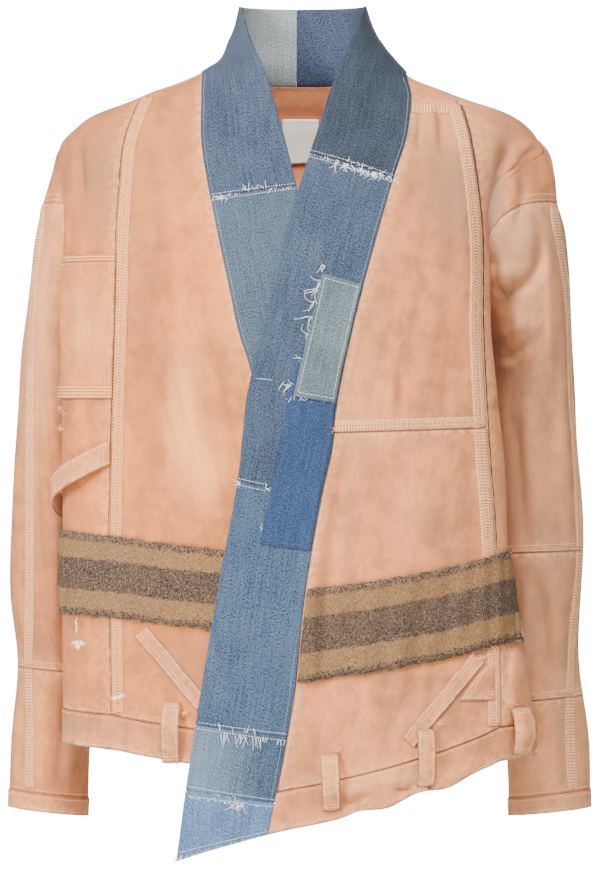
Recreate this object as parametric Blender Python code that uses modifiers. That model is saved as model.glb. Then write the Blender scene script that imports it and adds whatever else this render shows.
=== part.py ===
"""Patched boro jacket, filled out as if worn, with nobody in it.

A wide denim neckband runs round the neck and down both fronts. The left front laps over the
right, and its band hangs below the hem. Blanket strips, a tool pocket, belt loops and patches
are laid on the canvas.

Metres, +Z up. The origin is at the base of the neck, where the wearer carries the jacket. +X is
the wearer's left, and the chest faces -Y. The body is a stack of horizontal sections, each a
superellipse walked by the angle "turn": 0 at the breastbone, 90 degrees at the wearer's left,
180 at the spine. A sleeve is a stack of ellipses walked by its own turn: 0 at the outside of
the arm, 90 degrees at its front.
"""

import bpy
import bmesh
import math
import numpy as np

NAME = "boro_jacket"

# Cloth and gaps
CANVAS = 0.0015            # one layer of washed canvas
DENIM = 0.0030             # the neckband, folded double
HEM = 0.0026               # waistbands and cuffs, folded double
BLANKET = 0.0025           # felted wool strip
PATCH = 0.0009             # a thin patch or pocket mouth
GAP = 0.0003               # between two pieces at a seam
LAY = 0.0005               # between a panel and what lies on it
LABEL_LAY = 0.0013         # the label hangs a little free of the back
LAP = 0.0052               # how far the left front stands off the right front

# Shapes
NECK_SEAM_Z = 0.006        # height of the neck seam on the shoulder ridge
COLLAR_TOP_Z = 0.073       # top edge of the band behind the neck
COLLAR_DROP = 0.012        # how much lower the neck seam is at the spine
BAND_GAP = 0.0006          # half the gap at the neckband's seam, where the cloth turns up
CUFF_TILT = 0.009          # how much lower a cuff is at the inside of the wrist
POCKET_TOP_Z = -0.179      # top edge of the tool pocket
LOOP_STAND = 0.0080        # how far a belt loop stands off the waistband
LOOP_WIDTH = 0.017
HAMMER_WIDTH = 0.024       # the hammer loop, measured straight down
HAMMER_STAND = 0.013
SLEEVE_SEAM_Z = -0.125     # outer end of the seam between the dropped shoulder and the sleeve
SEAM_SWEEP = 2.9           # how late that seam turns down to the underarm
ARM_CLEAR = 0.0036         # between the body and the sleeve's top edge under the arm
VENT = math.radians(2.8)   # the slit at the right hip
RIGHT, LEFT = -1, 1        # the wearer's sides, as signs of x


def columns(names, rows):
    """Turns the rows of a table into one array for each named column."""
    return dict(zip(names.split(), np.array(rows, float).T))


# Sections of the body. middle is the depth of the widest points; power 2 is an ellipse.
BODY = columns("z left right front back middle power", [
    (-0.780, 0.2340, -0.2360, -0.116, 0.114, -0.034, 2.25),
    (-0.677, 0.2325, -0.2360, -0.115, 0.112, -0.038, 2.25),
    (-0.595, 0.2230, -0.2370, -0.115, 0.107, -0.044, 2.20),
    (-0.545, 0.2120, -0.2370, -0.117, 0.104, -0.048, 2.20),
    (-0.481, 0.2035, -0.2370, -0.119, 0.102, -0.050, 2.20),
    (-0.400, 0.2000, -0.2370, -0.125, 0.104, -0.051, 2.20),
    (-0.314, 0.1920, -0.2370, -0.131, 0.109, -0.051, 2.20),
    (-0.250, 0.1870, -0.2370, -0.132, 0.115, -0.043, 2.20),
    (-0.200, 0.1870, -0.2370, -0.128, 0.118, -0.030, 2.20),
    (-0.150, 0.1940, -0.2380, -0.120, 0.117, -0.016, 2.15),
    (-0.115, 0.2070, -0.2400, -0.110, 0.114, -0.004, 2.10),
    (-0.082, 0.2280, -0.2420, -0.099, 0.108, 0.005, 2.05),
    (-0.066, 0.2350, -0.2400, -0.092, 0.102, 0.008, 2.00),
    (-0.051, 0.2260, -0.2255, -0.086, 0.097, 0.009, 2.00),
    (-0.037, 0.2050, -0.2060, -0.079, 0.092, 0.010, 2.00),
    (-0.023, 0.1650, -0.1680, -0.070, 0.085, 0.011, 2.00),
    (-0.011, 0.1350, -0.1394, -0.062, 0.080, 0.012, 2.00),
    (0.000, 0.1086, -0.1110, -0.055, 0.075, 0.013, 2.00),
    (0.009, 0.1000, -0.0920, -0.050, 0.074, 0.015, 2.00),
    (0.040, 0.0750, -0.0700, -0.035, 0.078, 0.022, 2.00),
    (0.075, 0.0610, -0.0600, -0.020, 0.080, 0.030, 2.00)])

# Sections of each sleeve. outer and inner are distances from the middle of the body.
SLEEVES = {
    RIGHT: columns("z outer inner front back", [
        (-0.745, 0.2945, 0.2185, 0.034, 0.124),
        (-0.670, 0.2924, 0.2155, 0.028, 0.125),
        (-0.590, 0.2855, 0.2135, 0.021, 0.125),
        (-0.518, 0.2924, 0.2140, 0.016, 0.125),
        (-0.385, 0.2886, 0.2135, 0.010, 0.124),
        (-0.310, 0.2840, 0.2125, 0.008, 0.122),
        (-0.270, 0.2810, 0.2090, 0.003, 0.118),
        (-0.230, 0.2755, 0.1880, -0.020, 0.108),
        (-0.198, 0.2714, 0.1720, -0.032, 0.100),
        (-0.162, 0.2666, 0.1560, -0.040, 0.091),
        (-0.127, 0.2590, 0.1430, -0.040, 0.082),
        (-0.097, 0.2500, 0.1350, -0.034, 0.072),
        (-0.066, 0.2380, 0.1300, -0.024, 0.058),
        (-0.040, 0.2000, 0.1250, -0.012, 0.040)]),
    LEFT: columns("z outer inner front back", [
        (-0.745, 0.2905, 0.2105, 0.034, 0.124),
        (-0.667, 0.2886, 0.2075, 0.028, 0.124),
        (-0.575, 0.2780, 0.2005, 0.016, 0.123),
        (-0.467, 0.2830, 0.1960, 0.008, 0.122),
        (-0.344, 0.2750, 0.1930, -0.002, 0.120),
        (-0.289, 0.2720, 0.1920, -0.014, 0.116),
        (-0.252, 0.2700, 0.1870, -0.028, 0.110),
        (-0.220, 0.2680, 0.1740, -0.040, 0.105),
        (-0.186, 0.2657, 0.1580, -0.050, 0.098),
        (-0.145, 0.2606, 0.1450, -0.054, 0.089),
        (-0.125, 0.2545, 0.1380, -0.050, 0.082),
        (-0.097, 0.2515, 0.1330, -0.042, 0.072),
        (-0.066, 0.2400, 0.1300, -0.024, 0.058),
        (-0.040, 0.2000, 0.1250, -0.012, 0.040)])}

# The neckband from the shoulder ridge down: where its sewn edge and its free edge lie.
BAND = {
    RIGHT: columns("seam_z seam_x free_x free_z", [
        (-0.008, -0.0985, -0.0520, 0.042),
        (-0.027, -0.0993, -0.0350, -0.001),
        (-0.067, -0.0990, -0.0188, -0.057),
        (-0.107, -0.0928, -0.0085, -0.098),
        (-0.167, -0.0807, 0.0030, -0.148),
        (-0.210, -0.0713, 0.0124, -0.192),
        (-0.254, -0.0620, 0.0207, -0.232),
        (-0.290, -0.0506, 0.0315, -0.267),
        (-0.370, -0.0300, 0.0550, -0.352),
        (-0.460, -0.0140, 0.0730, -0.450),
        (-0.560, -0.0080, 0.0800, -0.555),
        (-0.695, -0.0060, 0.0810, -0.694)]),
    LEFT: columns("seam_z seam_x free_x free_z", [
        (-0.008, 0.1055, 0.0510, 0.043),
        (-0.026, 0.1080, 0.0320, -0.003),
        (-0.067, 0.1014, 0.0183, -0.047),
        (-0.107, 0.0878, 0.0070, -0.083),
        (-0.179, 0.0670, -0.0158, -0.156),
        (-0.254, 0.0480, -0.0340, -0.234),
        (-0.325, 0.0334, -0.0527, -0.311),
        (-0.369, 0.0290, -0.0580, -0.356),
        (-0.421, 0.0177, -0.0635, -0.404),
        (-0.514, 0.0030, -0.0817, -0.504),
        (-0.600, -0.0063, -0.0956, -0.590),
        (-0.665, -0.0168, -0.1058, -0.653),
        (-0.721, -0.0276, -0.1143, -0.709),
        (-0.751, -0.0330, -0.1232, -0.778)])}

# The long seam between the middle and the side of each front.
FELLED = {
    RIGHT: columns("z x", [(-0.680, -0.186), (-0.613, -0.187), (-0.440, -0.188), (-0.337, -0.186),
                           (-0.231, -0.183), (-0.116, -0.179), (-0.060, -0.173), (-0.018, -0.157)]),
    LEFT: columns("z x", [(-0.690, 0.194), (-0.600, 0.195), (-0.475, 0.189), (-0.446, 0.188),
                          (-0.375, 0.182), (-0.252, 0.176), (-0.145, 0.174), (-0.084, 0.168),
                          (-0.047, 0.161), (-0.018, 0.151)])}

# Rows of each front: heights at the neckband, at the long seam and at the side seam.
SHOULDER_Z = (NECK_SEAM_Z, -0.004, -0.011, -0.018, -0.027, -0.044)
LOWER_ROWS = {
    RIGHT: columns("band middle side", [
        (-0.300, -0.300, -0.300),
        (-0.321, -0.321, -0.321),      # foot of the tool pocket
        (-0.355, -0.355, -0.355),
        (-0.398, -0.398, -0.398),
        (-0.437, -0.427, -0.425),
        (-0.4764, -0.4565, -0.4506),   # top of the blanket strip
        (-0.5154, -0.4964, -0.4910),
        (-0.5544, -0.5363, -0.5313),   # foot of the blanket strip
        (-0.6070, -0.5850, -0.5800),
        (-0.6600, -0.6343, -0.6280),   # top of the waistband
        (-0.6950, -0.6680, -0.6614)]),
    LEFT: columns("band middle side", [
        (-0.295, -0.295, -0.295),
        (-0.325, -0.322, -0.322),
        (-0.354, -0.350, -0.350),      # seam across the front
        (-0.400, -0.392, -0.390),
        (-0.455, -0.434, -0.432),
        (-0.5095, -0.4760, -0.4730),   # top of the blanket strip
        (-0.5550, -0.5200, -0.5165),
        (-0.6000, -0.5640, -0.5600),   # foot of the blanket strip
        (-0.6550, -0.6053, -0.6010),
        (-0.7096, -0.6466, -0.6420),   # top of the waistband
        (-0.7510, -0.6800, -0.6720)])}
POCKET_FOOT, BLANKET_TOP, BLANKET_FOOT, CROSS_SEAM = 1, 5, 7, 2
YOKE_ROW, SHOULDER_ROW = 4, 3          # the yoke's foot, and the top of the long seam
ARM_POINTS = 8                         # columns on the front, and on the back, of a sleeve
MIDDLE_COLUMNS, SIDE_COLUMNS, BACK_COLUMNS = 6, 4, 14
FIRST_LOWER = len(SHOULDER_Z) + ARM_POINTS + 1
HIP_TURN = math.radians(91)            # the side seam's turn at the hip
BACK_SAG = 0.010                       # how much lower the back hem is at the spine

# Seams across the neckband, by the height of their sewn end, and the pieces between them
BAND_PIECES = {
    RIGHT: (("band_right_upper", "indigo"), -0.1232, ("band_right_lower", "grey_blue")),
    LEFT: (("band_left_upper", "indigo"), -0.1053, ("band_left_middle", "mid_blue"), -0.419,
           ("band_left_lower", "mid_blue"), -0.6546, ("band_left_hem", "grey_blue"), -0.7196,
           ("band_left_tip", "indigo"))}

# Colours: linear red, green, blue, then roughness
FINISHES = {
    "canvas": (0.66, 0.39, 0.26, 0.88), "canvas_dark": (0.60, 0.34, 0.22, 0.88),
    "indigo": (0.07, 0.15, 0.27, 0.90), "mid_blue": (0.13, 0.22, 0.32, 0.90),
    "grey_blue": (0.21, 0.31, 0.38, 0.90), "pale_grey": (0.37, 0.40, 0.38, 0.90),
    "bright_blue": (0.07, 0.17, 0.32, 0.90), "sage": (0.20, 0.27, 0.27, 0.92),
    "wool": (0.26, 0.18, 0.13, 0.97), "label": (0.78, 0.70, 0.60, 0.85)}


def smooth(table, name, z):
    """A cubic through a column, with slopes from its neighbours. Tables run upwards in z."""
    xs, ys = table["z"], table[name]
    slope = np.gradient(ys, xs)
    i = np.clip(np.searchsorted(xs, z) - 1, 0, len(xs) - 2)
    h = xs[i + 1] - xs[i]
    u = np.clip((z - xs[i]) / h, 0, 1)
    rise = 3 * u**2 - 2 * u**3
    return ((1 - rise) * ys[i] + rise * ys[i + 1]
            + (u**3 - 2 * u**2 + u) * h * slope[i] + (u**3 - u**2) * h * slope[i + 1])


def mix(a, b, share):
    return a + (b - a) * share


def step(low, high, value):
    """0 at low, 1 at high, with a smooth rise between them."""
    u = np.clip((value - low) / (high - low), 0, 1)
    return u * u * (3 - 2 * u)


def section(z):
    return [smooth(BODY, name, z) for name in ("left", "right", "front", "back", "middle", "power")]


def body(turn, z):
    """The inside of the body's cloth at a turn and a height."""
    left, right, front, back, middle, power = section(z)
    s, c = np.sin(turn), np.cos(turn)
    x = (left + right) / 2 + (left - right) / 2 * np.sign(s) * np.abs(s) ** (2 / power)
    depth = np.where(c > 0, middle - front, back - middle)
    return np.stack([x, middle - depth * np.sign(c) * np.abs(c) ** (2 / power), z + 0 * x], -1)


def body_turn(point, grow=0.0):
    """The turn of a point seen from its section's middle, and how far out it lies: 1 is on it."""
    left, right, front, back, middle, power = section(point[..., 2])
    u = (point[..., 0] - (left + right) / 2) / ((left - right) / 2 + grow)
    v = (middle - point[..., 1]) / (np.where(point[..., 1] < middle, middle - front, back - middle) + grow)
    u, v = (np.sign(a) * np.abs(a) ** (power / 2) for a in (u, v))
    return np.arctan2(u, v), u * u + v * v


def front_turn(x, z):
    """The turn at which the front of the body passes x."""
    left, right, _, _, _, power = section(z)
    u = np.clip((x - (left + right) / 2) / ((left - right) / 2), -1, 1)
    return np.arcsin(np.sign(u) * np.abs(u) ** (power / 2))


def outward(surface, a, z):
    """Unit normal of a surface of two values, pointing away from the body's middle."""
    e = 0.004
    n = np.cross(surface(a + e, z) - surface(a - e, z), surface(a, z + e) - surface(a, z - e))
    return n / np.linalg.norm(n, axis=-1, keepdims=True)


def lap(turn, z):
    """How far the left front stands off, so that it passes over the right front and its band."""
    x = body(turn, z)[..., 0]
    return LAP * step(-0.03, -0.10, z) * step(0.15, 0.085, x)


def laid(turn, z, out, side=None):
    """Points that stand out from the body; the wearer's left front adds its lap."""
    turn, z = np.broadcast_arrays(np.asarray(turn, float), np.asarray(z, float))
    if side == LEFT:
        out = out + lap(turn, z)
    return body(turn, z) + outward(body, turn, z) * (np.asarray(out) + 0 * z)[..., None]


def sleeve(side, turn, z):
    """The inside of a sleeve's cloth at a turn and a height."""
    outer, inner, front, back = (smooth(SLEEVES[side], k, z) for k in ("outer", "inner", "front", "back"))
    return np.stack([side * ((outer + inner) / 2 + (outer - inner) / 2 * np.cos(turn)),
                     (front + back) / 2 - (back - front) / 2 * np.sin(turn), z + 0 * turn], -1)


def armhole(side, turn, clear=0.0):
    """Height at which each line down the sleeve comes out of the body, by halving an interval."""
    low, high = np.full(turn.shape, -0.40), np.full(turn.shape, -0.045)
    for _ in range(40):
        middle = (low + high) / 2
        out = body_turn(sleeve(side, turn, middle), clear)[1] > 1
        low, high = np.where(out, middle, low), np.where(out, high, middle)
    return low


def arm_turns(side):
    """Turns of the sleeve's lines: over the front to the underarm, and over the back to it."""
    every = np.radians(np.arange(90, 200))
    under = every[np.argmin(armhole(side, every))]
    split = math.radians(0.15)
    return (np.linspace(split, under - split, ARM_POINTS + 1),
            np.linspace(-split, under - 2 * math.pi + split, ARM_POINTS + 1))


def sleeve_seam(side, turn):
    """Height of the seam that joins the dropped shoulder to the sleeve."""
    under = armhole(side, arm_turns(side)[0][-1:])[0]
    share = ((1 - np.cos(turn)) / 2) ** SEAM_SWEEP
    return np.minimum(mix(SLEEVE_SEAM_Z, under, share), armhole(side, turn))


def felled_turn(side, z):
    """Turn of the long seam; above its top it is the shoulder ridge."""
    edge = side * (math.pi / 2 - math.radians(0.1))
    turn = front_turn(smooth(FELLED[side], "x", z), z)
    return np.where(z > SHOULDER_Z[SHOULDER_ROW] - 1e-6, edge, turn)


def band_table(side):
    """The neckband's two edges as turns and heights, in close steps from its foot to the ridge."""
    b, ridge = BAND[side], side * math.pi / 2
    tops = {"seam_z": NECK_SEAM_Z, "free_z": COLLAR_TOP_Z}
    tops |= {"seam_x": body(ridge, NECK_SEAM_Z)[0], "free_x": body(ridge, COLLAR_TOP_Z)[0]}
    stations = {"z": np.arange(len(b["seam_z"]) + 1.0)}
    stations |= {name: np.append(b[name][::-1], top) for name, top in tops.items()}
    fine = np.linspace(0, stations["z"][-1], 12 * len(stations["z"]))
    seam_z, seam_x, free_z, free_x = (smooth(stations, n, fine) for n in ("seam_z", "seam_x", "free_z", "free_x"))
    return {"z": seam_z, "seam": front_turn(seam_x, seam_z), "free": front_turn(free_x, free_z), "free_z": free_z}


def band_lines(side, heights, across):
    """Turns and heights across the neckband, from its sewn edge (0) to its free edge (1)."""
    table = band_table(side)
    seam, free, free_z = (np.interp(heights, table["z"], table[n])[:, None] for n in ("seam", "free", "free_z"))
    return mix(seam, free, across), mix(heights[:, None], free_z, across)


def edge_turn(side, back, low=0.0):
    """Turn of the side seam or the shoulder ridge; each cloth stops half a gap short of it."""
    return side * (math.pi / 2 + low + (1 if back else -1) * math.radians(0.1))


def row_ends(side, back=False):
    """Each row's height at the band, at the long seam and at the outer edge, and its outer turn."""
    turns = arm_turns(side)[1 if back else 0]
    hole = armhole(side, turns)
    hole_turn = body_turn(sleeve(side, turns, hole))[0]
    level = np.linspace(hole[0], hole.min(), len(hole))
    lower = LOWER_ROWS[side]
    slit = VENT / 2 * step(-0.59, -0.64, lower["side"]) if side == RIGHT else 0.0
    hip = edge_turn(side, back, HIP_TURN - math.pi / 2) + (side if back else -side) * slit
    outer = np.concatenate([np.full(len(SHOULDER_Z), edge_turn(side, back)), hole_turn,
                            mix(hole_turn[-1], hip, step(hole[-1], -0.45, lower["side"]))])
    return {"band": np.concatenate([SHOULDER_Z, level, lower["band"]]),
            "middle": np.concatenate([SHOULDER_Z, level, lower["middle"]]),
            "outer": np.concatenate([SHOULDER_Z, hole, lower["side"]]), "outer_turn": outer}


def front_lines(side):
    """Turns and heights of one front's grid, from the band to the outer edge, split at the long seam."""
    rows = row_ends(side)
    band = band_lines(side, rows["band"], 0)[0][:, 0]
    long_seam = felled_turn(side, rows["middle"])
    a, b = np.linspace(0, 1, MIDDLE_COLUMNS + 1), np.linspace(0, 1, SIDE_COLUMNS + 1)
    turn = np.hstack([mix(band[:, None], long_seam[:, None], a),
                      mix(long_seam[:, None], rows["outer_turn"][:, None], b)[:, 1:]])
    z = np.hstack([mix(rows["band"][:, None], rows["middle"][:, None], a),
                   mix(rows["middle"][:, None], rows["outer"][:, None], b)[:, 1:]])
    return turn, z


def back_lines():
    """Turns and heights of the back's grid, from the wearer's left edge to the right one."""
    left, right = row_ends(LEFT, back=True), row_ends(RIGHT, back=True)
    a = np.linspace(0, 1, BACK_COLUMNS + 1)
    turn = mix(left["outer_turn"][:, None], right["outer_turn"][:, None] % (2 * math.pi), a)
    sag = COLLAR_DROP * step(-0.06, NECK_SEAM_Z, left["middle"]) + BACK_SAG * step(-0.3, -0.68, left["middle"])
    ends = [mix(side["middle"][:, None], side["outer"][:, None], e) for side, e in
            ((left, step(0.25, 0.0, a)), (right, step(0.75, 1.0, a)))]
    return turn, mix(ends[0], ends[1], step(0, 1, a)) - sag[:, None] * np.sin(math.pi * a)


def shoulder_lines(side, back=False):
    """The dropped shoulder, in the sleeve's turns: from the armhole out to the sleeve's seam."""
    turns = arm_turns(side)[1 if back else 0]
    return turns, mix(armhole(side, turns), sleeve_seam(side, turns), np.linspace(0, 1, 3)[:, None])


def drawn_in(points, edges, gap=GAP / 2):
    """Pulls the named edges of a grid (top, bottom, start, end) in from the seam line."""
    points = points.copy()
    pairs = {"top": (points[0], points[1]), "bottom": (points[-1], points[-2]),
             "start": (points[:, 0], points[:, 1]), "end": (points[:, -1], points[:, -2])}
    for rim, beside in (pairs[edge] for edge in edges):
        way = beside - rim
        length = np.linalg.norm(way, axis=-1, keepdims=True)
        rim += way * np.where(length > 3 * gap, gap / np.maximum(length, 1e-9), 0)
    return points


def finish(name):
    """A plain cloth material, made once."""
    if name in bpy.data.materials:
        return bpy.data.materials[name]
    material = bpy.data.materials.new(name)
    material.use_nodes = True
    shader = material.node_tree.nodes["Principled BSDF"]
    red, green, blue, rough = FINISHES[name]
    shader.inputs["Base Color"].default_value = (red, green, blue, 1)
    shader.inputs["Roughness"].default_value = rough
    return material


def cloth(name, grids, wall, colour, flip=False, inward=False):
    """Sews grids of points into one sheet, where their points meet, and gives it its wall."""
    points, faces = [], []
    for grid in grids:
        rows, cols = grid.shape[:2]
        at = np.arange(rows * cols).reshape(rows, cols) + sum(len(p) for p in points)
        quads = np.stack([at[:-1, :-1], at[1:, :-1], at[1:, 1:], at[:-1, 1:]], -1).reshape(-1, 4)
        faces.append(quads[:, ::-1] if flip else quads)
        points.append(grid.reshape(-1, 3))
    mesh = bpy.data.meshes.new(name)
    mesh.from_pydata(np.vstack(points).tolist(), [], np.vstack(faces).tolist())
    sheet = bmesh.new()
    sheet.from_mesh(mesh)
    bmesh.ops.remove_doubles(sheet, verts=sheet.verts, dist=0.00006)
    sheet.to_mesh(mesh)
    sheet.free()
    mesh.materials.append(finish(colour))
    piece = bpy.data.objects.new(name, mesh)
    bpy.data.collections[NAME].objects.link(piece)
    solid = piece.modifiers.new("wall", "SOLIDIFY")
    solid.thickness = wall
    solid.offset = -1 if inward else 1
    return piece


def build_fronts():
    """Both fronts: the middle panels, the side panels with the dropped shoulder, and waistbands."""
    for side, word in ((RIGHT, "right"), (LEFT, "left")):
        turn, z = front_lines(side)
        points = laid(turn, z, 0.0, side)
        waist, seam, first = len(turn) - 2, MIDDLE_COLUMNS, SHOULDER_ROW
        flip = side == RIGHT
        middle, flank = points[:waist + 1, :seam + 1], points[first:waist + 1, seam:].copy()
        flank[0] = mix(flank[0], flank[1], 0.25)      # the long seam ends just short of the ridge
        flank[:3] = drawn_in(flank[:3], ("start",), 2 * GAP)
        shoulder = sleeve(side, *shoulder_lines(side))
        cloth(f"front_{word}_side", [drawn_in(flank, ("start", "bottom")), drawn_in(shoulder, ("bottom",))[:, ::-1]],
              CANVAS, "canvas", flip)
        hem = drawn_in(points[waist:], ("top", "start"), GAP)
        cloth(f"waistband_{word}_front", [hem], HEM, "canvas_dark", flip)
        middle = drawn_in(middle, ("start",), BAND_GAP)
        if side == RIGHT:
            cloth("front_right_middle", [drawn_in(middle, ("end", "bottom"))], CANVAS, "canvas", flip)
            continue
        cross = FIRST_LOWER + CROSS_SEAM
        for name, low, high in (("yoke", 0, YOKE_ROW), ("upper", YOKE_ROW, cross), ("lower", cross, waist)):
            edges = ("end", "bottom", "top") if low else ("end", "bottom")
            cloth(f"front_left_{name}", [drawn_in(middle[low:high + 1], edges)], CANVAS, "canvas", flip)


def build_back():
    """The back with both dropped shoulders, and its waistband."""
    turn, z = back_lines()
    points = laid(turn, z, 0.0)
    waist = len(turn) - 2
    grids = [drawn_in(points[:waist + 1], ("bottom",))]
    grids[0] = drawn_in(grids[0], ("top",), BAND_GAP)
    left, right = (sleeve(side, *shoulder_lines(side, back=True)) for side in (LEFT, RIGHT))
    grids += [drawn_in(left, ("bottom",)), drawn_in(right, ("bottom",))[:, ::-1]]
    cloth("back", grids, CANVAS, "canvas")
    cloth("waistband_back", [drawn_in(points[waist:], ("top",), GAP)], HEM, "canvas_dark")


def build_neckband():
    """The denim band: down both fronts in patched lengths, and up behind the neck in two colours."""
    across = np.linspace(0, 1, 4)
    for side in (RIGHT, LEFT):
        pieces = BAND_PIECES[side]
        cuts = [NECK_SEAM_Z, *pieces[1::2], row_ends(side)["band"][-1]]
        for (name, colour), top, low in zip(pieces[::2], cuts, cuts[1:]):
            rows = row_ends(side)["band"]
            heights = np.array([top, *(r for r in rows if low + 0.004 < r < top - 0.004), low])
            band = drawn_in(laid(*band_lines(side, heights, across), 0.0, side), ("top", "bottom"), GAP)
            cloth(name, [drawn_in(band, ("start",), BAND_GAP)], DENIM, colour, flip=side == LEFT)
    turn, z = (lines[0] for lines in back_lines())
    rise = np.linspace(1, 0, 4)[:, None]
    collar = drawn_in(laid(turn + 0 * rise, mix(z, COLLAR_TOP_Z, rise), 0.0), ("bottom",), BAND_GAP)
    half = BACK_COLUMNS // 2
    for name, colour, part in (("band_back_left", "bright_blue", collar[:, :half + 1]),
                               ("band_back_right", "pale_grey", collar[:, half:])):
        cloth(name, [drawn_in(part, ("start", "end"), GAP)], DENIM, colour)


def build_sleeves():
    """Each sleeve is tubes of canvas, one below the other, down to a cuff folded double."""
    lengths = {RIGHT: (("upper", -0.590, 9), ("lower", -0.714, 4), ("cuff", -0.732, 1)),
               LEFT: (("upper", -0.473, 8), ("middle", -0.619, 4), ("lower", -0.714, 3), ("cuff", -0.732, 1))}
    for side, word in ((RIGHT, "right"), (LEFT, "left")):
        front, rear = arm_turns(side)
        turns = np.concatenate([front[:-1], [(front[-1] + rear[-1] % (2 * math.pi)) / 2],
                                rear[-2:0:-1] % (2 * math.pi), [front[0] + 2 * math.pi]])
        top = np.minimum(sleeve_seam(side, turns) - GAP, armhole(side, turns, ARM_CLEAR))
        for name, foot, rows in lengths[side]:
            low = foot - CUFF_TILT * step(-0.3, -0.73, foot) * (1 - np.cos(turns)) / 2
            z = mix(top, low + GAP / 2, np.linspace(0, 1, rows + 1)[:, None])
            thick = HEM if name == "cuff" else CANVAS
            cloth(f"sleeve_{word}_{name}", [sleeve(side, turns + 0 * z, z)], thick,
                  "canvas_dark" if name == "cuff" else "canvas", flip=side == LEFT)
            top = low - GAP / 2


def strip(name, side, path, wide, out, wall, colour, steps=6):
    """A narrow strip laid down a line from one (x, z) to another, off the cloth by out(share)."""
    (x0, z0), (x1, z1) = path
    along, across = np.linspace(0, 1, steps)[:, None], np.linspace(-0.5, 0.5, 3)
    length = math.hypot(x1 - x0, z1 - z0)
    x = mix(x0, x1, along) + across * wide * (z0 - z1) / length
    z = mix(z0, z1, along) + across * wide * (x1 - x0) / length
    cloth(name, [laid(front_turn(x, z), z, out(along) + 0 * x, side)], wall, colour)


def build_blankets_and_pockets():
    """The blanket strips, the tool pocket, the slanted pocket mouths and a coin patch."""
    over = CANVAS + LAY
    rows = slice(FIRST_LOWER + BLANKET_TOP, FIRST_LOWER + BLANKET_FOOT + 1)
    for side, word in ((RIGHT, "right"), (LEFT, "left")):
        turn, z = front_lines(side)
        wool = drawn_in(laid(turn[rows], z[rows], over, side), ("start", "end"), 0.002)
        cloth(f"blanket_strip_{word}", [wool], BLANKET, "wool", flip=side == RIGHT)
    turn, z = (lines[:FIRST_LOWER + POCKET_FOOT + 1, MIDDLE_COLUMNS:] for lines in front_lines(RIGHT))
    first = int(np.argmax(z[:, 0] < POCKET_TOP_Z))
    share = (z[first - 1, 0] - POCKET_TOP_Z) / (z[first - 1, 0] - z[first, 0])
    turn, z = (np.vstack([mix(a[first - 1], a[first], share), a[first:]]) for a in (turn, z))
    for lines in (turn, z):
        lines[:, -1] = mix(lines[:, -2], lines[:, -1], 0.5)      # it stops short of the armhole's fold
    pocket = drawn_in(laid(turn, z, over), ("start",), 0.001)
    cloth("tool_pocket_right", [pocket], CANVAS, "canvas", flip=True)
    mouths = ((RIGHT, "right", ((-0.1585, -0.551), (-0.0975, -0.624))),
              (LEFT, "left", ((0.1740, -0.577), (0.1040, -0.660))))
    for side, word, path in mouths:
        strip(f"pocket_mouth_{word}", side, path, 0.016, lambda share: over + 0 * share, PATCH, "canvas_dark")
    z = np.array([[-0.586], [-0.603], [-0.6195]])
    x = mix(np.array([[0.184], [0.170], [0.158]]) - 0.004, 0.189, np.array([0.0, 0.5, 1.0]))
    cloth("coin_patch_left", [laid(front_turn(x, z), z, over, LEFT)], PATCH, "canvas_dark")


def build_band_patches():
    """Two thin denim patches on the left neckband; the sage one covers the top of the indigo one."""
    rows = row_ends(LEFT)["band"]
    for name, colour, top, low, width, lift in (
            ("patch_indigo", "bright_blue", -0.291, -0.471, 0.58, 0.0),
            ("patch_sage", "sage", -0.2103, -0.3255, 0.52, PATCH + LAY)):
        heights = np.array([top, *(r for r in rows if low + 0.004 < r < top - 0.004), low])
        turn, z = band_lines(LEFT, heights, np.array([0.02, 1 / 3, width]))
        out = DENIM + LAY + lift * step(-0.25, -0.275, z)
        cloth(name, [laid(turn, z, out, LEFT)], PATCH, colour, flip=True)


def build_loops():
    """Belt loops on the waistband, and the hammer loop across the right side."""
    arch = lambda share: HEM + LAY + LOOP_STAND * np.sin(math.pi * share) ** 0.7
    for name, side, path in (
            ("belt_loop_right", RIGHT, ((-0.1286, -0.622), (-0.1286, -0.680))),
            ("belt_loop_left_1", LEFT, ((0.0270, -0.672), (0.0290, -0.7264))),
            ("belt_loop_left_2", LEFT, ((0.1210, -0.6480), (0.1210, -0.7030))),
            ("belt_loop_left_3", LEFT, ((0.2130, -0.6280), (0.2150, -0.6720)))):
        strip(name, side, path, LOOP_WIDTH, arch, CANVAS, "canvas_dark", steps=8)
    along, across = np.linspace(0, 1, 9)[:, None], np.linspace(-0.5, 0.5, 3)
    turn = mix(front_turn(np.array([-0.189]), -0.375)[0], math.radians(-97), along) + 0 * across
    z = mix(-0.375, -0.428, along) + across * HAMMER_WIDTH
    out = CANVAS + LAY + HAMMER_STAND * np.sin(math.pi * along) ** 0.8
    cloth("hammer_loop", [laid(turn, z, out + 0 * z)[::-1]], CANVAS, "canvas_dark", flip=False)


def build_label():
    """A bare cloth label on the inside of the back, under the neck seam."""
    z, x = np.array([[-0.0375], [-0.060], [-0.082]]), np.array([-0.0197, -0.0015, 0.0167])
    turn = math.pi - front_turn(x + 0 * z, z + 0 * x)
    cloth("neck_label", [laid(turn, z + 0 * turn, -LABEL_LAY)], PATCH, "label", flip=True, inward=True)


def build():
    """Clears the scene and makes every piece of the jacket."""
    for old in list(bpy.data.objects):
        bpy.data.objects.remove(old, do_unlink=True)
    bpy.context.scene.collection.children.link(bpy.data.collections.new(NAME))
    build_fronts()
    build_back()
    build_neckband()
    build_sleeves()
    build_blankets_and_pockets()
    build_band_patches()
    build_loops()
    build_label()


build()
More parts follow.
